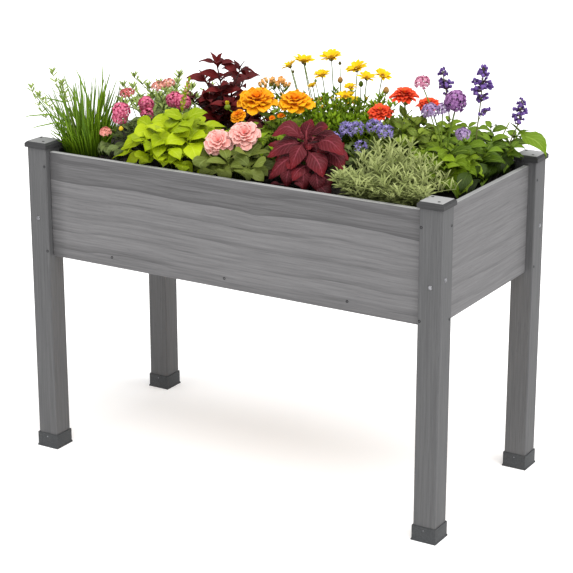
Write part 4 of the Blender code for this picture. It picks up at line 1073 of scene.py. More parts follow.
def grow_burgundy():
    """Upright stems with pointed, dark red leaves that arch over, and a small pair on top."""
    plant = Growth("grown_burgundy_leaves", 11, "dark_burgundy_leaves")
    looks = ("burgundy_leaf", "burgundy_stem")
    # Each top as (x, y, z, tiers of leaves, heading of the pair on top)
    tops = (
        (-0.258, 0.080, 1.042, 4, 0.3),
        (-0.188, 0.085, 1.026, 4, 0.0),
        (-0.312, 0.105, 0.985, 4, 0.8),
        (-0.225, 0.170, 0.990, 4, 1.5),
        (-0.185, 0.030, 0.940, 3, 0.6),
        (-0.270, 0.040, 0.945, 3, 2.4),
        (-0.325, 0.060, 0.935, 3, 0.1),
        (-0.230, 0.060, 0.970, 3, 1.1),
    )
    for index, (x, y, z, tiers, turn) in enumerate(tops):
        route = plant.route(index, len(tops), (x, y, z))
        plant.shoot(route, tiers, "pointed", (0.076, 0.033), (0.75, -0.85), looks, radius=0.0026,
                    low=0.35, taper=0.30, tuft=False)
        for side in (0, math.pi):
            plant.leaf("pointed", on(route, 0.99), turn + side, 1.25, 0.80, 0.036, 0.017, looks[0])
            plant.leaf("pointed", on(route, 0.96), turn + side, 0.75, -0.50, 0.056, 0.023, looks[0])
    plant.skirt(16, "pointed", (0.070, 0.034), looks, 0.08, (0.03, 0.07), (0.6, -0.9))
    plant.thicket(10, (-0.325, 0.160), (-0.165, 0.225), (0.05, 0.11), 3, "pointed", (0.062, 0.029),
                  looks)
    plant.piece("burgundy_leaf", "dark_burgundy_leaves")


def full_bloom(name, centre, axis, height, seed):
    """A flower in a growth of its own, with its middle at the centre."""
    axis = unit(axis)
    return Bloom(Growth(name + "_in_flower", seed), np.array(centre) - axis * height / 2, axis)


def pale_pink_bloom(name, centre, axis, radius, seed):
    """A ruffled flower: toothed petals in rings over one another."""
    height = radius * 0.8
    bloom = full_bloom(name, centre, axis, height, seed)
    bloom.stub("bud", 0.0, height * 0.45, radius * 0.22, "dull_green_stem")
    bloom.rings("frilled", (radius, height), "pale_pink_petal", (
        (9, 0.08, 0.22, (14, -34), 1.08, 0.84, 0.00),
        (8, 0.07, 0.30, (30, -14), 0.98, 0.80, 0.05),
        (7, 0.06, 0.36, (44, 6), 0.86, 0.70, 0.10),
        (6, 0.05, 0.42, (58, 26), 0.70, 0.58, 0.20),
        (4, 0.04, 0.46, (72, 48), 0.54, 0.44, 0.35),
    ), uneven=0.15)
    bloom.growth.piece("pale_pink_petal", name)
    return bloom.base


def grow_pale_pink():
    """Two ruffled pale pink flowers on thin stalks, over grey-green oval leaves."""
    plant = Growth("grown_pale_pink_leaves", 13, "pale_pink_leaves")
    looks = ("oval_leaf", "oval_stem")
    flowers = (
        ("pale_pink_bloom_left", (-0.063, -0.212, 0.911), (0.15, -0.70, 0.70), 0.033),
        ("pale_pink_bloom_right", (-0.004, -0.182, 0.931), (0.30, -0.60, 0.74), 0.035),
    )
    stalks = 7
    for index, (name, centre, axis, radius) in enumerate(flowers):
        base = pale_pink_bloom(name, centre, axis, radius, 70 + index)
        plant.bear(base, index, stalks, 0.0019, looks[1])
    for index in range(5):
        top = (-0.045 + 0.018 * index, -0.195 + 0.012 * index, 0.885)
        plant.bear(top, index + 2, stalks, 0.0014, looks[1])
    for route in plant.spread(7, 0.060, lambda share: 0.074 - 0.030 * share, start=0.015, flat=0.8):
        plant.shoot(route, 2, "oval", (0.080, 0.038), (0.45, -0.55), looks, radius=0.0016,
                    low=0.35, taper=0.2)
    plant.skirt(10, "oval", (0.080, 0.042), looks, 0.075, (0.030, 0.050), (0.3, -0.9))
    plant.fringe(5, (-0.100, 0.075), "oval", (0.074, 0.046), looks)
    plant.piece("dull_green_leaf", "pale_pink_leaves")


def marigold_bloom(name, centre, axis, radius, seed, deeper):
    """A full flower: broad ruffled petals in rings, deeper in colour towards its heart."""
    height = radius * 0.8
    bloom = full_bloom(name, centre, axis, height, seed)
    bloom.stub("bud", -0.1 * height, height * 0.42, radius * 0.26, "green_stem")
    bloom.stub("bead", height * 0.15, height * 0.66, radius * 0.34, "orange_petal", tint=0.8)
    bloom.rings("frilled", (radius, height), "orange_petal", (
        (11, 0.20, 0.28, (16, -30), 0.86, 0.66, 0.00),
        (10, 0.18, 0.38, (30, -14), 0.76, 0.62, 0.10),
        (9, 0.15, 0.46, (44, 2), 0.64, 0.56, 0.20),
        (7, 0.11, 0.54, (60, 20), 0.50, 0.46, 0.40),
        (5, 0.06, 0.60, (76, 42), 0.36, 0.34, 0.65),
    ), deeper, 0.14)
    bloom.growth.piece("orange_petal", name)
    return bloom.base


def grow_marigolds():
    """Full orange flowers over divided green leaves."""
    plant = Growth("grown_marigold_leaves", 17, "marigold_leaves")
    looks = ("green_leaf", "green_stem")
    # Each flower as (name, middle, axis, radius, how much deeper in colour)
    flowers = (
        ("marigold_bloom_left", (-0.050, -0.050, 0.990), (0.15, -0.30, 0.94), 0.049, 0.0),
        ("marigold_bloom_right", (0.066, -0.050, 0.998), (0.10, -0.25, 0.96), 0.046, -0.1),
        ("marigold_bloom_small", (-0.070, -0.108, 0.957), (-0.1, -0.55, 0.83), 0.021, 0.3),
    )
    stalks = 8
    for index, (name, centre, axis, radius, deeper) in enumerate(flowers):
        base = marigold_bloom(name, centre, axis, radius, 80 + index, deeper)
        plant.bear(base, index, stalks, 0.0024, looks[1])
    opening = (((0.046, -0.085, 0.962), 0.010), ((0.022, -0.090, 0.955), 0.008))
    for index, (spot, radius) in enumerate(opening):
        plant.bear(spot, index + 3, stalks, 0.0014, looks[1])
        bloom = Bloom(plant, spot, (0.1, -0.4, 0.9))
        bloom.ring("frilled", 7, 0.001, 0.0, (30, 5), radius, radius, "orange_petal", 0.7)
        bloom.ring("frilled", 5, 0.001, 0.002, (65, 50), radius * 0.8, radius * 0.7,
                   "orange_petal", 0.9)
    plant.bear((-0.139, -0.050, 0.955), 5, stalks, 0.0018, looks[1])
    bud = Bloom(plant, (-0.139, -0.050, 0.951), (0, -0.1, 1))
    bud.stub("bud", 0.0, 0.018, 0.0085, "green_stem")
    bud.ring("layered", 7, 0.003, 0.010, (84, 70), 0.014, 0.009, "lemon_petal", 0.2)
    for index in range(30):
        root, heading, share = plant.root(index, 30, 1.0)
        base = root + toward(heading, 0.06 * share, plant.random.uniform(0.02, 0.11))
        if index % 2 == 0:
            plant.shoot(bend(root, base + (0, 0, 0.02)), 3, "lance", (0.060, 0.025), (0.6, -0.7),
                        looks, radius=0.0018, low=0.4)
        else:
            plant.stem(bend(root, base), 0.0016, looks[1])
            for turn in (-1.1, 0.1, 1.2):
                plant.feather(base, heading + turn, 0.6, -0.4, 0.068, 6, 0.024, looks)
    plant.skirt(26, "lance", (0.060, 0.028), ("fresh_leaf", "green_stem"), 0.095, (0.07, 0.115),
                (0.5, -0.8), 1.3)
    plant.skirt(12, "lance", (0.060, 0.026), looks, 0.085, (0.04, 0.08), (0.4, -1.0))
    plant.piece("green_leaf", "marigold_leaves")


def grow_peach_buds():
    """Forked stems with small round buds, behind the marigolds."""
    plant = Growth("grown_peach_bud_stems", 19, "peach_bud_stems")
    chance = plant.random
    looks = ("green_leaf", "green_stem")
    tops = (
        (-0.143, 0.120, 0.978),
        (-0.114, 0.120, 0.988),
        (-0.096, 0.120, 0.992),
        (-0.082, 0.120, 0.983),
        (-0.095, 0.170, 0.935),
        (-0.025, 0.200, 0.925),
    )
    for index, top in enumerate(tops):
        route = plant.route(index, len(tops), top)
        plant.shoot(route, 4, "lance", (0.034, 0.010), (0.7, -0.1), looks, radius=0.0016, low=0.4,
                    taper=0.4, tuft=False)
        for fork in range(5):
            way = toward(fork * 1.3 + index, 1.0, 1.1)
            start = on(route, 0.93)
            end = start + way * chance.uniform(0.010, 0.018)
            plant.stem(bend(start, end, 0.7, 4), 0.0008, looks[1])
            bud = Bloom(plant, end, way * (1, 1, 2))
            bud.stub("bead", -0.001, 0.006, 0.0036, looks[1])
            bud.stub("bud", 0.002, 0.015, 0.0052, "peach_bud")
            bud.ring("strap", 5, 0.002, 0.008, (86, 52), 0.010, 0.0052, "peach_bud", 0.6)
    for route in plant.spread(16, 0.09, lambda share: chance.uniform(0.08, 0.14), 1.1):
        plant.shoot(route, 5, "lance", (0.036, 0.011), (0.6, -0.2), looks, radius=0.0014)
    plant.skirt(14, "lance", (0.050, 0.020), looks, 0.085, (0.03, 0.07), (0.4, -0.9))
    plant.thicket(14, (-0.150, 0.170), (0.040, 0.235), (0.05, 0.10), 4, "lance", (0.042, 0.015),
                  looks)
    plant.piece("green_leaf", "peach_bud_stems")


def grow_red_veined():
    """Large quilted magenta leaves that arch and droop from an upright stem.

    Each large leaf leads from the stem over its highest part to its tip, and has its width.
    """
    plant = Growth("grown_red_veined_leaves", 23, "red_veined_leaves")
    looks = ("red_veined_leaf", "red_stem")
    stalks = 5
    plant.bear((0.177, -0.182, 0.962), 0, stalks, 0.0036, "red_stem")
    large = (
        ((0.175, -0.190, 0.936), (0.135, -0.200, 0.970), (0.096, -0.215, 0.944), 0.044),
        ((0.172, -0.185, 0.940), (0.178, -0.178, 0.965), (0.186, -0.172, 0.990), 0.042),
        ((0.183, -0.185, 0.944), (0.212, -0.184, 0.974), (0.243, -0.190, 0.978), 0.034),
        ((0.175, -0.195, 0.933), (0.133, -0.215, 0.926), (0.094, -0.234, 0.895), 0.050),
        ((0.182, -0.205, 0.935), (0.178, -0.228, 0.916), (0.168, -0.242, 0.874), 0.048),
        ((0.203, -0.190, 0.932), (0.251, -0.200, 0.948), (0.303, -0.216, 0.922), 0.056),
        ((0.164, -0.215, 0.905), (0.134, -0.232, 0.882), (0.104, -0.243, 0.842), 0.048),
        ((0.195, -0.212, 0.922), (0.237, -0.230, 0.902), (0.259, -0.240, 0.866), 0.052),
        ((0.160, -0.228, 0.880), (0.157, -0.240, 0.858), (0.156, -0.243, 0.824), 0.040),
        ((0.201, -0.230, 0.884), (0.205, -0.243, 0.860), (0.208, -0.244, 0.824), 0.044),
        ((0.228, -0.228, 0.880), (0.242, -0.240, 0.856), (0.248, -0.243, 0.824), 0.040),
        ((0.212, -0.172, 0.912), (0.259, -0.182, 0.908), (0.292, -0.196, 0.876), 0.046),
        ((0.190, -0.175, 0.950), (0.228, -0.172, 0.952), (0.262, -0.176, 0.936), 0.042),
        ((0.160, -0.178, 0.930), (0.122, -0.182, 0.930), (0.094, -0.190, 0.900), 0.042),
    )
    for *points, width in large:
        twist = plant.random.uniform(-0.2, 0.2)
        plant.drape("quilted", points, width, "red_veined_leaf", twist=twist)
        foot = np.array((0.177, -0.188, max(0.830, points[0][2] - 0.020)))
        plant.stem(bend(foot, points[0], 0.4, 4), 0.0017, "red_stem")
    behind = (
        ((0.165, -0.130, 0.925), 2),
        ((0.225, -0.140, 0.900), 2),
        ((0.120, -0.160, 0.895), 1),
    )
    for index, (top, tiers) in enumerate(behind):
        route = plant.route(index + 1, stalks, top)
        plant.shoot(route, tiers, "quilted", (0.090, 0.048), (0.45, -1.15), looks, radius=0.0026,
                    low=0.45, taper=0.20)
    plant.skirt(9, "quilted", (0.075, 0.044), looks, 0.070, (0.030, 0.050), (0.4, -1.3))
    plant.piece("red_veined_leaf", "red_veined_leaves")


def sprout(plant, top, index, count, radius):
    """A daisy's stalk: it stands almost straight under its flower."""
    root = plant.root(index, count)[0]
    knee = root * 0.35 + np.array(top) * 0.65
    knee[2] = 0.895
    plant.stem(through((root, knee, top)), radius, "fresh_stem")


def grow_daisies():
    """Fine foliage with yellow daisies and buds on long stalks."""
    plant = Growth("grown_yellow_daisies", 29, "yellow_daisies")
    chance = plant.random
    looks = ("fresh_leaf", "fresh_stem")
    # Each daisy as (x, y, z, radius, how far it leans right)
    daisies = (
        (-0.003, 0.040, 1.063, 0.023, -0.5),
        (0.025, 0.060, 1.073, 0.029, 0.1),
        (0.085, 0.100, 1.081, 0.031, 0.0),
        (0.081, 0.060, 1.044, 0.022, 0.0),
        (0.161, 0.100, 1.060, 0.031, -0.1),
        (0.200, 0.080, 1.045, 0.025, 0.3),
        (0.234, 0.100, 1.052, 0.023, 0.5),
        (0.163, 0.060, 1.022, 0.018, 0.1),
        (0.161, 0.040, 0.999, 0.025, 0.0),
        (0.052, 0.060, 1.015, 0.014, -0.2),
        (0.105, 0.185, 0.955, 0.020, 0.1),
        (0.185, 0.180, 0.950, 0.018, 0.1),
    )
    stalks = 20
    plant.planes, fenced = [], plant.planes  # the daisies stand over their neighbours
    for index, (x, y, z, radius, lean) in enumerate(daisies):
        axis = (lean, -0.25 + chance.uniform(-0.15, 0.15), 0.96)
        sprout(plant, (x, y, z), index, stalks, 0.0017)
        bloom = Bloom(plant, np.array((x, y, z)) - unit(axis) * 0.003, axis)
        bloom.stub("bud", 0.0, radius * 0.30, radius * 0.24, "brown_cup")
        bloom.rings("ray", (radius, radius), "yellow_ray", (
            (9, 0.14, 0.20, (32, 0), 0.95, 0.44, 0.05),
            (7, 0.12, 0.24, (48, 18), 0.82, 0.42, 0.20),
        ))
        bloom.studs("bead", 24, 1.3, (0, 0, radius * 0.20), radius * 0.22, radius * 0.16,
                    radius * 0.13, radius * 0.05, "daisy_eye")
    # Each bud as (x, y, z, radius, look)
    buds = (
        (-0.031, 0.100, 1.034, 0.0040, "brown_cup"),
        (0.005, 0.100, 1.057, 0.0045, "brown_cup"),
        (0.110, 0.100, 1.070, 0.0045, "brown_cup"),
        (0.117, 0.090, 1.025, 0.0075, "tan_bud"),
        (0.178, 0.090, 1.022, 0.0070, "fresh_stem"),
        (0.246, 0.100, 1.009, 0.0085, "tan_bud"),
        (0.020, 0.130, 1.010, 0.0040, "fresh_stem"),
    )
    for index, (x, y, z, radius, look) in enumerate(buds):
        sprout(plant, (x, y, z), index + len(daisies), stalks, 0.0015)
        bud = Bloom(plant, (x, y, z - 0.001), (0, 0, 1))
        bud.stub("bead", 0.0, radius * 1.2, radius * 0.8, "fresh_stem")
        bud.stub("bud", 0.0005, radius * 2.4, radius, look)
    plant.planes = fenced

    def rise(share):
        return chance.uniform(0.12, 0.20) * (1 - 0.20 * share)

    for index, route in enumerate(plant.spread(84, 0.110, rise, 1.5)):
        plant.shoot(route, 7, "needle", (0.027, 0.0082), (0.75, 0.0), looks, radius=0.0011,
                    low=0.20, whorl=3, taper=0.3)
        if index % 4 == 0:
            bud = Bloom(plant, route[-1], (0, 0, 1))
            bud.stub("bud", -0.001, 0.009, 0.0040, "yellow_bud")
    plant.skirt(20, "lance", (0.050, 0.018), looks, 0.10, (0.03, 0.07), (0.4, -0.9))
    plant.thicket(24, (0.030, 0.180), (0.245, 0.236), (0.06, 0.13), 6, "needle", (0.027, 0.0082),
                  looks)
    plant.piece("yellow_daisy", "yellow_daisies")


def grow_blue_clusters():
    """Clusters of small blue-violet stars on short stems."""
    plant = Growth("grown_blue_clusters", 31, "blue_clusters")
    plant.planes = []  # it grows in among its neighbours
    # Each head as (x, y, z, radius, florets)
    heads = (
        (0.222, -0.060, 0.944, 0.0145, 12),
        (0.248, -0.060, 0.952, 0.0130, 10),
        (0.296, -0.050, 0.960, 0.0130, 12),
        (0.330, -0.058, 0.950, 0.0135, 12),
        (0.277, -0.090, 0.914, 0.0080, 6),
        (0.204, -0.085, 0.925, 0.0070, 5),
    )
    for index, (x, y, z, radius, count) in enumerate(heads):
        axis = unit((0.2, -0.5, 0.85))
        base = np.array((x, y, z)) - axis * radius * 0.6
        plant.bear(base, index, len(heads), 0.0017, "green_stem")
        cluster_head(plant, base, axis, (radius, radius * 1.1), count, 0.0100,
                     ("star", "blue_violet_floret", "blue_violet_floret"), 1.8)
    looks = ("dull_green_leaf", "dull_green_stem")
    for route in plant.spread(8, 0.045, lambda share: 0.095):
        plant.shoot(route, 3, "lance", (0.046, 0.019), (0.5, -0.5), looks, radius=0.0016, low=0.3)
    plant.skirt(10, "lance", (0.05, 0.022), looks, 0.05, (0.03, 0.06), (0.4, -0.9))
    plant.piece("blue_violet_floret", "blue_clusters")


def zinnia_bloom(name, centre, axis, radius, seed):
    """A flat-topped flower: rounded petals in rings over one another, round a raised eye."""
    height = radius * 0.65
    bloom = full_bloom(name, centre, axis, height, seed)
    bloom.stub("bud", -0.1 * height, height * 0.5, radius * 0.30, "green_stem")
    bloom.stub("bead", height * 0.1, height * 0.80, radius * 0.34, "red_petal", tint=0.6)
    bloom.rings("layered", (radius, height), "red_petal", (
        (15, 0.16, 0.42, (10, -20), 0.86, 0.36, 0.60),
        (15, 0.15, 0.52, (20, -8), 0.76, 0.34, 0.40),
        (13, 0.13, 0.62, (32, 4), 0.64, 0.31, 0.25),
        (11, 0.11, 0.72, (46, 16), 0.50, 0.27, 0.15),
        (9, 0.08, 0.80, (60, 34), 0.36, 0.22, 0.05),
    ))
    bloom.studs("bead", 16, 1.3, (0, 0, height * 0.85), radius * 0.10, height * 0.14, radius * 0.12,
                radius * 0.04, "daisy_eye")
    bloom.growth.piece("red_petal", name)
    return bloom.base


def grow_zinnias():
    """Flat-topped red flowers on stout leafy stems."""
    plant = Growth("grown_zinnia_leaves", 37, "zinnia_leaves")
    looks = ("zinnia_leaf", "green_stem")
    flowers = (
        ("zinnia_bloom_left", (0.277, 0.012, 0.981), (0.10, -0.30, 0.95), 0.034),
        ("zinnia_bloom_middle", (0.325, 0.050, 1.022), (0.05, -0.16, 0.98), 0.038),
        ("zinnia_bloom_right", (0.362, 0.112, 0.991), (0.10, -0.24, 0.96), 0.033),
    )
    for index, (name, centre, axis, radius) in enumerate(flowers):
        base = zinnia_bloom(name, centre, axis, radius, 90 + index)
        route = plant.route(index, 7, base)
        plant.shoot(route, 3, "lance", (0.058, 0.022), (0.75, 0.05), looks, radius=0.0026,
                    low=0.45, taper=0.45, tuft=False)
    for route in plant.spread(14, 0.080, lambda share: 0.150 - 0.05 * share):
        plant.shoot(route, 4, "lance", (0.066, 0.028), (0.65, -0.60), looks, radius=0.0020)
    plant.skirt(12, "lance", (0.065, 0.028), looks, 0.075, (0.04, 0.08), (0.4, -1.0))
    plant.thicket(10, (0.245, 0.150), (0.370, 0.235), (0.05, 0.11), 3, "lance", (0.055, 0.024),
                  looks)
    plant.piece("green_leaf", "zinnia_leaves")


def grow_silver_mound():
    """A low mound of sprigs that fan out, with narrow curling silver-green leaves."""
    plant = Growth("grown_silver_mound", 41, "silver_mound")
    chance = plant.random
    looks = ("silver_leaf", "silver_stem")

    def rise(share):
        return (0.128 - 0.088 * share**2) * chance.uniform(0.78, 1.15)

    for route in plant.spread(46, 0.122, rise, 1.1):
        plant.shoot(route, 7, "strap", (0.047, 0.0060), (0.95, -0.10), looks, radius=0.0014,
                    low=0.22, whorl=3, taper=0.35)
    by_rim = 36
    for index in range(by_rim):
        x = 0.285 + 0.262 * (index + chance.uniform(0.1, 0.9)) / by_rim
        root = (plant.x + (x - plant.x) * 0.6, -0.215, ROOT_Z)
        top = (x, -0.247 + chance.uniform(0, 0.015), 0.844 + chance.uniform(0, 0.030))
        plant.shoot(bend(root, top), 7, "strap", (0.042, 0.0060), (0.55, -0.50), looks,
                    radius=0.0013, low=0.12, whorl=3, taper=0.2)
    plant.piece("silver_leaf", "silver_mound")


def globe_head(growth, base, axis, radius, height, count, size, look):
    """A round head of florets, paler on top."""
    bloom = Bloom(growth, base, axis)
    bloom.stub("bead", 0.0, height * 0.85, radius * 0.55, look)
    bloom.studs("floret", count, 2.3, (0, 0, height * 0.48), radius * 0.58, height * 0.38,
                radius * 0.48, size, look, tint=lambda way: 0.5 - 0.5 * way[2])


def grow_globe():
    """A violet globe flower and paler heads on stems over broad leaves."""
    plant = Growth("grown_globe_leaves", 43, "globe_leaves")
    looks = ("green_leaf", "green_stem")
    axis = unit((0.1, -0.25, 0.95))
    base = np.array((0.491, 0.000, 1.037)) - axis * 0.023
    globe = Growth("violet_globe_in_flower", 97)
    globe_head(globe, base, axis, 0.0245, 0.043, 84, 0.0082, "violet_petal")
    globe.piece("violet_floret", "violet_globe")
    plant.planes, fenced = [], plant.planes  # the heads stand over their neighbours
    stalks = 8
    plant.bear(base, 0, stalks, 0.0027, "fresh_stem")
    # Each head as (x, y, z, radius, look)
    heads = (
        (0.434, -0.020, 1.011, 0.021, "lavender_petal"),
        (0.525, -0.025, 0.965, 0.015, "lavender_petal"),
        (0.392, 0.015, 1.070, 0.018, "rose_petal"),
        (0.462, -0.010, 1.016, 0.013, "lavender_petal"),
    )
    for index, (x, y, z, radius, look) in enumerate(heads):
        foot = np.array((x, y, z)) - axis * radius * 0.6
        plant.bear(foot, index + 1, stalks, 0.0020, "fresh_stem")
        cluster_head(plant, foot, axis, (radius, radius * 1.15), int(2100 * radius), 0.0070,
                     ("floret", look, look), 2.0)
    plant.planes = fenced
    for route in plant.spread(12, 0.070, lambda share: 0.108 - 0.04 * share):
        plant.shoot(route, 3, "lance", (0.098, 0.046), (0.50, -1.00), looks, low=0.30)
    plant.skirt(14, "lance", (0.088, 0.042), looks, 0.08, (0.04, 0.08), (0.3, -1.2))
    plant.fringe(10, (-0.060, 0.060), "lance", (0.062, 0.034), ("shaded_rim_leaf", "green_stem"), "right")
    plant.piece("green_leaf", "globe_leaves")


def salvia_spike(plant, route, whorls):
    """Ragged whorls of lipped violet florets. Each whorl is (height, reach, florets)."""
    chance = plant.random
    for level, reach, count in whorls:
        start = chance.uniform(0, 2 * math.pi)
        for index in range(count):
            height = level + chance.uniform(-0.004, 0.004)
            seat = [np.interp(height, route[:, 2], route[:, axis]) for axis in (0, 1)]
            heading = start + (index + chance.uniform(-0.3, 0.3)) * 2 * math.pi / count
            way = (math.cos(heading), math.sin(heading), chance.uniform(-0.35, 0.75))
            long = reach * chance.uniform(0.78, 1.15)
            floret = Bloom(plant, (*seat, height), way)
            floret.stub("bead", 0.0, long * 0.55, 0.0026, "violet_cup")
            floret.stub("lip", long * 0.35, long, chance.uniform(0.0034, 0.0062),
                        "salvia_petal")


def grow_salvia(name, seed, spike, whorls, shoots, size, look):
    """A spike of violet florets, with leafy shoots round its foot."""
    plant = Growth("grown_" + name, seed, name)
    looks = (look, "green_stem")
    route = through((plant.root(0, shoots + 1)[0], *spike))
    plant.planes, fenced = [], plant.planes  # the spike may lean over its neighbours
    plant.stem(route, 0.0019, "salvia_stem")
    salvia_spike(plant, route, whorls)
    plant.planes = fenced
    for route in plant.spread(shoots + 1, 0.070, lambda share: 0.140 - 0.06 * share, first=1):
        plant.shoot(route, 3, "lance", size, (0.60, -0.85), looks, radius=0.0020, low=0.40)
    plant.skirt(7, "lance", size, looks, 0.055, (0.03, 0.07), (0.4, -1.0))
    return plant


def grow_salvias():
    """Each spike's points lead up its stem to the tip."""
    behind = ((0.391, 0.180, 0.920), (0.386, 0.165, 1.010), (0.374, 0.160, 1.074))
    whorls = ((1.074, 0.007, 4), (1.065, 0.014, 6), (1.045, 0.020, 7), (1.034, 0.023, 8),
              (1.025, 0.017, 5), (1.012, 0.011, 5))
    left = grow_salvia("salvia_left", 47, behind, whorls, 9, (0.064, 0.028), "green_leaf")
    left.piece("green_leaf", "salvia_left")
    tallest = ((0.506, 0.090, 0.920), (0.521, 0.082, 1.030), (0.527, 0.080, 1.112))
    whorls = ((1.111, 0.007, 5), (1.103, 0.013, 7), (1.090, 0.019, 7), (1.073, 0.025, 9),
              (1.064, 0.029, 11), (1.053, 0.026, 9), (1.035, 0.023, 9), (1.026, 0.017, 5))
    middle = grow_salvia("salvia_middle", 53, tallest, whorls, 7, (0.088, 0.038), "salvia_leaf")
    twig = bend((0.512, 0.087, 0.960), (0.541, 0.072, 1.004))
    middle.stem(twig, 0.0011, "salvia_stem", held=False)
    salvia_spike(middle, twig, ((1.003, 0.013, 8), (0.996, 0.012, 6)))
    middle.fringe(15, (0.050, 0.225), "lance", (0.060, 0.034), ("shaded_rim_leaf", "green_stem"), "right")
    middle.piece("green_leaf", "salvia_middle")
    corner = ((0.548, 0.205, 0.900), (0.572, 0.201, 0.955), (0.577, 0.200, 1.010))
    whorls = ((1.009, 0.007, 4), (0.999, 0.013, 6), (0.986, 0.020, 7), (0.975, 0.022, 7),
              (0.957, 0.014, 5), (0.947, 0.010, 3))
    right = grow_salvia("salvia_right", 59, corner, whorls, 5, (0.074, 0.032), "salvia_leaf")
    joint = (0.535, 0.225, 0.945)
    right.bear(joint, 2, 3, 0.0020, "green_stem")
    spine = through((joint, (0.580, 0.215, 0.918), (0.612, 0.212, 0.910), (0.634, 0.211, 0.892),
                     (0.645, 0.210, 0.866)))
    right.lay("broad", spine, (0.25, -0.75, -0.60), 0.025, "salvia_leaf", 0.8, held=False)
    right.piece("green_leaf", "salvia_right")


# The box

def clear():
    bpy.ops.object.select_all(action="DESELECT")


def pick_faces(thing, wanted):
    """Selects the faces that are wanted, by their middle and their normal."""
    bpy.ops.mesh.select_mode(type="FACE")
    bm = bmesh.from_edit_mesh(thing.data)
    for face in bm.faces:
        face.select_set(bool(wanted(face.calc_center_median(), face.normal)))
    bm.select_flush_mode()
    bmesh.update_edit_mesh(thing.data)


def seat(thing, place, turn=None):
    """Puts a finished shape in its place, which goes into its mesh."""
    if turn is not None:
        thing.data.transform(turn.to_matrix().to_4x4())
    for vert in thing.data.vertices:
        vert.co += Vector(place)
    thing.data.update()


def copy_of(thing, name):
    made = bpy.data.objects.new(name, thing.data.copy())
    bpy.context.scene.collection.objects.link(made)
    return made


def finished(thing, look, node=None):
    thing.data.materials.clear()
    thing.data.materials.append(LOOK[look])
    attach(thing, "root")
    if node:
        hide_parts(node)


def corners():
    for side, sx in (("left", -1), ("right", 1)):
        for end, sy in (("front", -1), ("back", 1)):
            yield end + "_" + side, sx, sy


def model_foot():
    """A thin rubber sleeve with a narrow flange round the sole and eased edges."""
    clear()
    bpy.ops.mesh.primitive_cube_add(size=1.0, location=(0, 0, FOOT_HEIGHT / 2))
    foot = bpy.context.object
    foot.scale = (2 * FOOT_HALF, 2 * FOOT_HALF, FOOT_HEIGHT)
    bpy.ops.object.transform_apply(location=True, rotation=False, scale=True)
    bpy.ops.object.mode_set(mode="EDIT")
    for level in (FLANGE_HEIGHT * 0.5, FLANGE_HEIGHT):
        bpy.ops.mesh.select_all(action="SELECT")
        bpy.ops.mesh.bisect(plane_co=(0, 0, level), plane_no=(0, 0, 1))
    pick_faces(foot, lambda middle, normal: middle.z < FLANGE_HEIGHT * 0.5)
    spread = 1 + FLANGE_OUT / FOOT_HALF
    bpy.ops.transform.resize(value=(spread, spread, 1), center_override=(0, 0, 0))
    pick_faces(foot, lambda middle, normal: normal.z > 0.9 and middle.z > FOOT_HEIGHT / 2)
    bpy.ops.mesh.inset(thickness=FOOT_WALL, depth=0)
    bpy.ops.mesh.extrude_region_move(TRANSFORM_OT_translate={"value": (0, 0, -FOOT_HOLLOW)})
    bpy.ops.mesh.select_all(action="DESELECT")
    bpy.ops.object.mode_set(mode="OBJECT")
    ease = foot.modifiers.new("eased_edges", "BEVEL")
    ease.width = FOOT_EASE
    ease.segments = 3
    ease.limit_method = "ANGLE"
    bpy.ops.object.modifier_apply(modifier=ease.name)
    bpy.ops.object.shade_smooth_by_angle(angle=math.radians(40))
    return foot


def make_feet():
    """Each sleeve has a small pale pin through its front face."""
    pattern = model_foot()
    for corner, sx, sy in corners():
        foot = copy_of(pattern, "rubber_foot_" + corner)
        seat(foot, (sx * LEG_X, sy * LEG_Y, 0))
        finished(foot, "dark_rubber", "foot_" + corner)
        clear()
        bpy.ops.mesh.primitive_cylinder_add(vertices=16, radius=PIN_RADIUS, depth=PIN_LENGTH)
        pin = bpy.context.object
        pin.name = "foot_pin_" + corner
        front = (sx * LEG_X, sy * LEG_Y - FOOT_HALF, PIN_UP)
        seat(pin, front, Vector((0, -1, 0)).to_track_quat("Z", "Y"))
        finished(pin, "bright_steel")
    bpy.data.objects.remove(pattern)


def model_bolt():
    """A round-headed bolt with a round socket, standing on Z with its seat at the origin."""
    clear()
    bpy.ops.mesh.primitive_cylinder_add(
        vertices=24, radius=BOLT_HEAD, depth=BOLT_HEAD_HEIGHT, location=(0, 0, BOLT_HEAD_HEIGHT / 2)
    )
    bolt = bpy.context.object
    bpy.ops.object.mode_set(mode="EDIT")
    pick_faces(bolt, lambda middle, normal: normal.z > 0.9)
    bpy.ops.mesh.bevel(offset=BOLT_ROUNDING, segments=4, profile=0.5, affect="EDGES")
    pick_faces(bolt, lambda middle, normal: normal.z > 0.999 and middle.z > BOLT_HEAD_HEIGHT * 0.99)
    bpy.ops.mesh.inset(thickness=BOLT_RIM, depth=0)
    bpy.ops.mesh.inset(thickness=0.0003, depth=-0.0002)
    bpy.ops.mesh.extrude_region_move(TRANSFORM_OT_translate={"value": (0, 0, -BOLT_SOCKET)})
    pick_faces(bolt, lambda middle, normal: normal.z < -0.9)
    bpy.ops.mesh.inset(thickness=BOLT_HEAD - BOLT_SHANK, depth=0)
    bpy.ops.mesh.extrude_region_move(TRANSFORM_OT_translate={"value": (0, 0, -BOLT_LENGTH)})
    bpy.ops.object.mode_set(mode="OBJECT")
    bpy.ops.object.shade_smooth_by_angle(angle=math.radians(35))
    return bolt


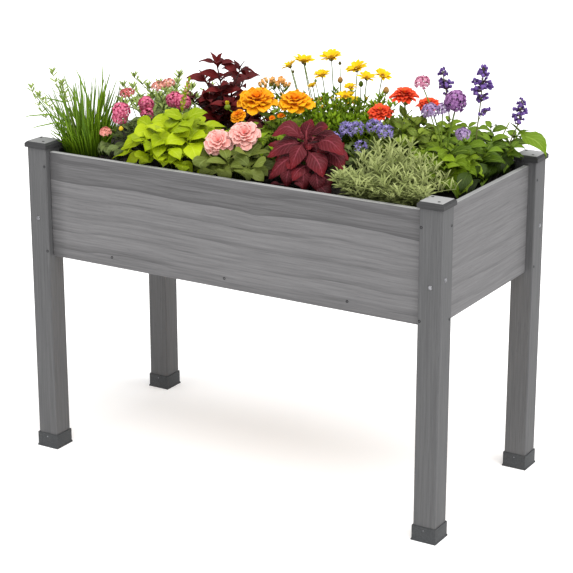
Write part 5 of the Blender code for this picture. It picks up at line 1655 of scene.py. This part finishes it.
def make_bolts():
    pattern = model_bolt()
    for corner, sx, sy in corners():
        for kind, outward in (("long", (sx, 0, 0)), ("end", (0, sy, 0))):
            name = "bolt_" + kind + "_" + corner
            low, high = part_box(name)
            middle = (low + high) / 2
            face = Vector(outward)
            reach = Vector((LEG_X, LEG_Y, 0)) + Vector((LEG / 2, LEG / 2, 0))
            spot = Vector(out * edge if out else at for out, edge, at in zip(face, reach, middle))
            bolt = copy_of(pattern, "round_" + name)
            seat(bolt, spot, face.to_track_quat("Z", "Y"))
            finished(bolt, "bright_steel", name)
    bpy.data.objects.remove(pattern)


def model_screw():
    """A small flat screw head with a round recess, facing along Z."""
    clear()
    bpy.ops.mesh.primitive_cylinder_add(vertices=16, radius=SCREW_HEAD, depth=SCREW_THICK)
    screw = bpy.context.object
    for vert in screw.data.vertices:
        vert.co.z += SCREW_STANDS - SCREW_THICK / 2
    bpy.ops.object.mode_set(mode="EDIT")
    pick_faces(screw, lambda middle, normal: normal.z > 0.9)
    bpy.ops.mesh.bevel(offset=SCREW_ROUNDING, segments=2, affect="EDGES")
    pick_faces(screw, lambda middle, normal: normal.z > 0.999)
    bpy.ops.mesh.inset(thickness=SCREW_RIM, depth=0)
    bpy.ops.mesh.extrude_region_move(TRANSFORM_OT_translate={"value": (0, 0, -SCREW_RECESS)})
    bpy.ops.object.mode_set(mode="OBJECT")
    return screw


def make_screws():
    """Small screws in the caps, near both ends of each leg's faces and along the long panels."""
    pattern = model_screw()
    groups = {"cap_screws": [], "leg_screws": [], "panel_screws": []}
    for _, sx, sy in corners():
        for step in (-CAP_SCREW_OFF, CAP_SCREW_OFF):
            spot = (sx * LEG_X + step - CAP_SCREW_LEFT, sy * LEG_Y - step, CAP_TOP)
            groups["cap_screws"].append((spot, (0, 0, 1)))
        for z in LEG_SCREW_HEIGHTS:
            on_long = (sx * LEG_SCREW_X, sy * (LEG_Y + LEG / 2), z)
            on_end = (sx * (LEG_X + LEG / 2), sy * LEG_SCREW_Y, z)
            groups["leg_screws"].append((on_long, (0, sy, 0)))
            groups["leg_screws"].append((on_end, (sx, 0, 0)))
    low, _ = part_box("panel_front")
    for x in PANEL_SCREWS_X:
        for sy in (-1, 1):
            spot = (x, sy * abs(low.y), PANEL_SCREW_HEIGHT)
            groups["panel_screws"].append((spot, (0, sy, 0)))
    for name, heads in groups.items():
        clear()
        for index, (spot, outward) in enumerate(heads):
            screw = copy_of(pattern, name if not index else "screw")
            seat(screw, spot, Vector(outward).to_track_quat("Z", "Y"))
            screw.select_set(True)
            if not index:
                bpy.context.view_layer.objects.active = screw
        bpy.ops.object.join()
        finished(bpy.context.object, "dark_screw")
    bpy.data.objects.remove(pattern)


def dress(look, *nodes):
    """Gives CAD nodes whose shape is right their finish."""
    for node in nodes:
        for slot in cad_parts[node].material_slots:
            slot.material = LOOK[look]


def finish_box():
    for corner, sx, _ in corners():
        dress("leg_stain", "leg_" + corner)
        # The left cap's top is painted less lit than the others
        dress("left_cap_stain_and_dimmer_lit_top" if sx < 0 else "cap_stain_and_lit_top", "cap_" + corner)
    dress("long_panel_stain_and_painted_light", "panel_front", "panel_back")
    dress("end_panel_stain_and_lit_rim", "panel_left", "panel_right")
    dress("ledger_wood", "ledger_front", "ledger_back")
    dress("floor_wood", "floor_board_left", "floor_board_middle", "floor_board_right")
    dress("liner_fabric", "liner")
    dress("soil", "soil")
    make_feet()
    make_bolts()
    make_screws()


def scatter_crumbs():
    """Clods and crumbs over the soil, clear of the posts."""
    crumbs = Growth("soil_crumbs", 101)
    chance = crumbs.random
    for _ in range(700):
        x = chance.uniform(-0.560, 0.560)
        y = chance.uniform(-0.250, 0.250)
        if abs(x) > POST_X - 0.004 and abs(y) > POST_Y - 0.004:
            continue
        size = chance.uniform(0.0025, 0.0075)
        spine = np.array([(x - size, y, SOIL_TOP), (x, y, SOIL_TOP + size * 0.3),
                          (x + size, y, SOIL_TOP)])
        crumbs.lay("bead", spine, (0.3, 1.0, 0.1), size * 0.8, "soil",
                   roll=chance.uniform(0, 3), held=False)
    crumbs.piece("soil")


# Stage, light and camera

def make_camera():
    camera = bpy.data.objects.new("photo_camera", bpy.data.cameras.new("photo_camera"))
    camera.location = CAMERA_PLACE
    camera.rotation_euler = (math.radians(90 - CAMERA_DOWN), 0.0, math.radians(CAMERA_ROUND))
    camera.data.lens = CAMERA_LENS
    camera.data.shift_x, camera.data.shift_y = CAMERA_SHIFT
    bpy.context.scene.collection.objects.link(camera)
    bpy.context.scene.camera = camera


def make_light(name, place, strength):
    """A broad soft light that shines from this place towards the bed."""
    light = bpy.data.objects.new(name, bpy.data.lights.new(name, "SUN"))
    light.data.angle = math.radians(SOFTNESS)
    light.data.energy = strength
    light.location = place
    aim = Vector(LIT_MIDDLE) - Vector(place)
    light.rotation_euler = aim.to_track_quat("-Z", "Y").to_euler()
    bpy.context.scene.collection.objects.link(light)


def make_stage():
    clear()
    bpy.ops.mesh.primitive_plane_add(size=FLOOR_SIZE, location=(0, 0, 0))
    floor = bpy.context.object
    floor.name = "studio_floor"
    white = Finish("studio_white", 0.9, Emission_Color=WHITE, Emission_Strength=FLOOR_GLOW)
    white.colour(FLOOR_TONE)
    floor.data.materials.append(white.material)
    world = bpy.data.worlds.new("studio")
    world.use_nodes = True
    sky = world.node_tree.nodes["Background"]
    sky.inputs[0].default_value = WHITE
    sky.inputs[1].default_value = SKY_STRENGTH
    bpy.context.scene.world = world
    make_light("key", KEY_PLACE, KEY_STRENGTH)
    make_light("fill", FILL_PLACE, FILL_STRENGTH)
    bpy.context.scene.view_settings.view_transform = "Standard"


def make_looks():
    """Each finish, its colours as read off a screen: red, green and blue from 0 to 255."""
    # darkest is how dark the painted shade low down among the stems gets
    stem_finish("chive_green", (128, 162, 24), (52, 92, 0), darkest=0.55)
    leaf_finish("sprig_leaf", (172, 190, 108), (122, 144, 70), (188, 202, 132), 0, 0.2)
    stem_finish("sprig_stem", (162, 174, 104), (118, 134, 72))
    leaf_finish("dull_green_leaf", (106, 120, 66), (50, 64, 26), (144, 156, 100))
    stem_finish("dull_green_stem", (110, 128, 66), (70, 88, 38))
    leaf_finish("lime_leaf", (172, 190, 18), (122, 146, 0), (200, 210, 78), 5, 0.32, darkest=0.55)
    stem_finish("lime_stem", (164, 180, 70), (116, 140, 36))
    leaf_finish("burgundy_leaf", (110, 27, 27), (42, 12, 16), (120, 44, 44), 7, 0.4)
    stem_finish("burgundy_stem", (88, 46, 46), (54, 24, 30))
    leaf_finish("oval_leaf", (124, 136, 58), (68, 80, 26), (150, 162, 92), 6, 0.4)
    stem_finish("oval_stem", (144, 160, 66), (98, 120, 40))
    leaf_finish("green_leaf", (126, 152, 28), (42, 68, 0), (150, 174, 68))
    leaf_finish("zinnia_leaf", (156, 178, 66), (76, 100, 20), (174, 192, 104))
    stem_finish("green_stem", (134, 154, 40), (82, 106, 14))
    leaf_finish("fresh_leaf", (130, 160, 14), (72, 106, 0), (154, 174, 50), 5, 0.3)
    stem_finish("fresh_stem", (126, 148, 34), (76, 104, 12))
    leaf_finish("salvia_leaf", (112, 142, 30), (34, 56, 0), (146, 170, 70), 8, 0.55)
    # The low leaves along the right rim: a darker copy of the green leaf, painted in their shade
    leaf_finish("shaded_rim_leaf", (54, 74, 10), (16, 26, 0), (76, 96, 34), 8, 0.5, darkest=0.2)
    leaf_finish("red_veined_leaf", (105, 32, 39), (36, 6, 12), (144, 66, 78), 8, 0.62, 0.0012,
                blush=(124, 26, 32), darkest=0.22)
    stem_finish("red_stem", (132, 44, 52), (84, 22, 34))
    leaf_finish("silver_leaf", (172, 180, 116), (120, 132, 72), (184, 190, 136), 0, 0.3,
                darkest=0.62)
    stem_finish("silver_stem", (160, 168, 106), (112, 124, 66), darkest=0.5)
    petal_finish("pink_floret", (128, 16, 52), (208, 66, 114), (232, 144, 168), (158, 28, 76))
    petal_finish("salmon_floret", (196, 84, 80), (224, 140, 122), (238, 186, 166), (190, 58, 78))
    petal_finish("pale_pink_petal", (214, 110, 110), (243, 170, 160), (250, 208, 198),
                 (230, 136, 132))
    petal_finish("orange_petal", (226, 120, 0), (247, 168, 0), (250, 190, 20), (234, 114, 0))
    petal_finish("red_petal", (198, 38, 16), (243, 80, 38), (248, 112, 68), (220, 44, 18))
    petal_finish("lemon_petal", (164, 156, 14), (212, 190, 20), (226, 206, 44), (184, 168, 20))
    petal_finish("yellow_ray", (226, 176, 0), (238, 202, 6), (242, 212, 24), (226, 172, 0))
    petal_finish("blue_violet_floret", (222, 214, 224), (158, 146, 206), (180, 170, 220),
                 (122, 108, 182))
    petal_finish("violet_petal", (80, 42, 104), (136, 86, 142), (182, 130, 182), (78, 40, 108))
    petal_finish("lavender_petal", (124, 90, 146), (164, 138, 180), (198, 176, 204),
                 (128, 98, 152))
    petal_finish("rose_petal", (176, 84, 122), (206, 128, 158), (224, 168, 186), (186, 98, 134))
    petal_finish("salvia_petal", (72, 46, 108), (108, 78, 152), (138, 108, 180), (70, 42, 108))
    stem_finish("salvia_stem", (128, 132, 70), (86, 84, 52))
    stem_finish("violet_cup", (100, 78, 98), (64, 46, 62))
    petal_finish("daisy_eye", (140, 90, 8), (194, 132, 10), (212, 160, 30), (150, 92, 16))
    stem_finish("brown_cup", (100, 94, 38), (62, 54, 24))
    petal_finish("tan_bud", (132, 132, 60), (170, 140, 72), (200, 138, 76), (160, 112, 58))
    petal_finish("yellow_bud", (140, 150, 30), (206, 180, 36), (224, 190, 52), (208, 148, 46))
    petal_finish("peach_bud", (180, 156, 60), (246, 192, 110), (251, 214, 148), (238, 164, 84))
    petal_finish("blush_bud", (160, 170, 74), (196, 150, 110), (206, 150, 138), (178, 126, 104))
    # The panels' rims take a paler colour: painted light from above
    wood_finish("long_panel_stain_and_painted_light", 0, (83, 82, 83), (113, 112, 113), (137, 136, 136), 1.0, 1.0,
                (RIM, (164, 164, 163)))
    wood_finish("end_panel_stain_and_lit_rim", 1, (82, 81, 82), (110, 109, 110), (134, 133, 133), 0.7, 0.0,
                (RIM, (156, 156, 155)))
    wood_finish("leg_stain", 2, (67, 67, 68), (88, 88, 89), (107, 107, 107))
    # The caps' stain is as dark as their shaded sides, painted shade in part, and their tops take
    # painted light; the left cap's top is painted less lit
    wood_finish("cap_stain_and_lit_top", 0, (38, 38, 39), (56, 56, 57), (74, 74, 74),
                lit_top=(CAP_TOP, (162, 162, 162)))
    wood_finish("left_cap_stain_and_dimmer_lit_top", 0, (38, 38, 39), (56, 56, 57), (74, 74, 74),
                lit_top=(CAP_TOP, (134, 134, 134)))
    wood_finish("ledger_wood", 0, (132, 100, 66), (166, 134, 94), (190, 162, 122))
    wood_finish("floor_wood", 1, (128, 96, 64), (162, 130, 90), (186, 158, 118))
    mottled_finish("dark_rubber", (58, 60, 62), (42, 44, 46), 300.0, 0.6, 0.0003)
    mottled_finish("bright_steel", (150, 150, 153), (106, 106, 110), 160.0, 0.30, 0.0001,
                   Metallic=1.0)
    mottled_finish("dark_screw", (64, 64, 66), (40, 40, 42), 400.0, 0.4, 0.0001, Metallic=1.0)
    mottled_finish("liner_fabric", (44, 44, 46), (24, 24, 26), 700.0, 0.9, 0.0006)
    mottled_finish("soil", (40, 30, 22), (16, 12, 10), 120.0, 0.95, 0.004, 0.9)


make_camera()
make_stage()
FORMS = make_forms()
make_looks()
finish_box()
scatter_crumbs()
grow_chives()
grow_pink_clusters()
grow_wispy_sprigs()
grow_lime()
grow_burgundy()
grow_pale_pink()
grow_marigolds()
grow_peach_buds()
grow_red_veined()
grow_daisies()
grow_blue_clusters()
grow_zinnias()
grow_silver_mound()
grow_globe()
grow_salvias()
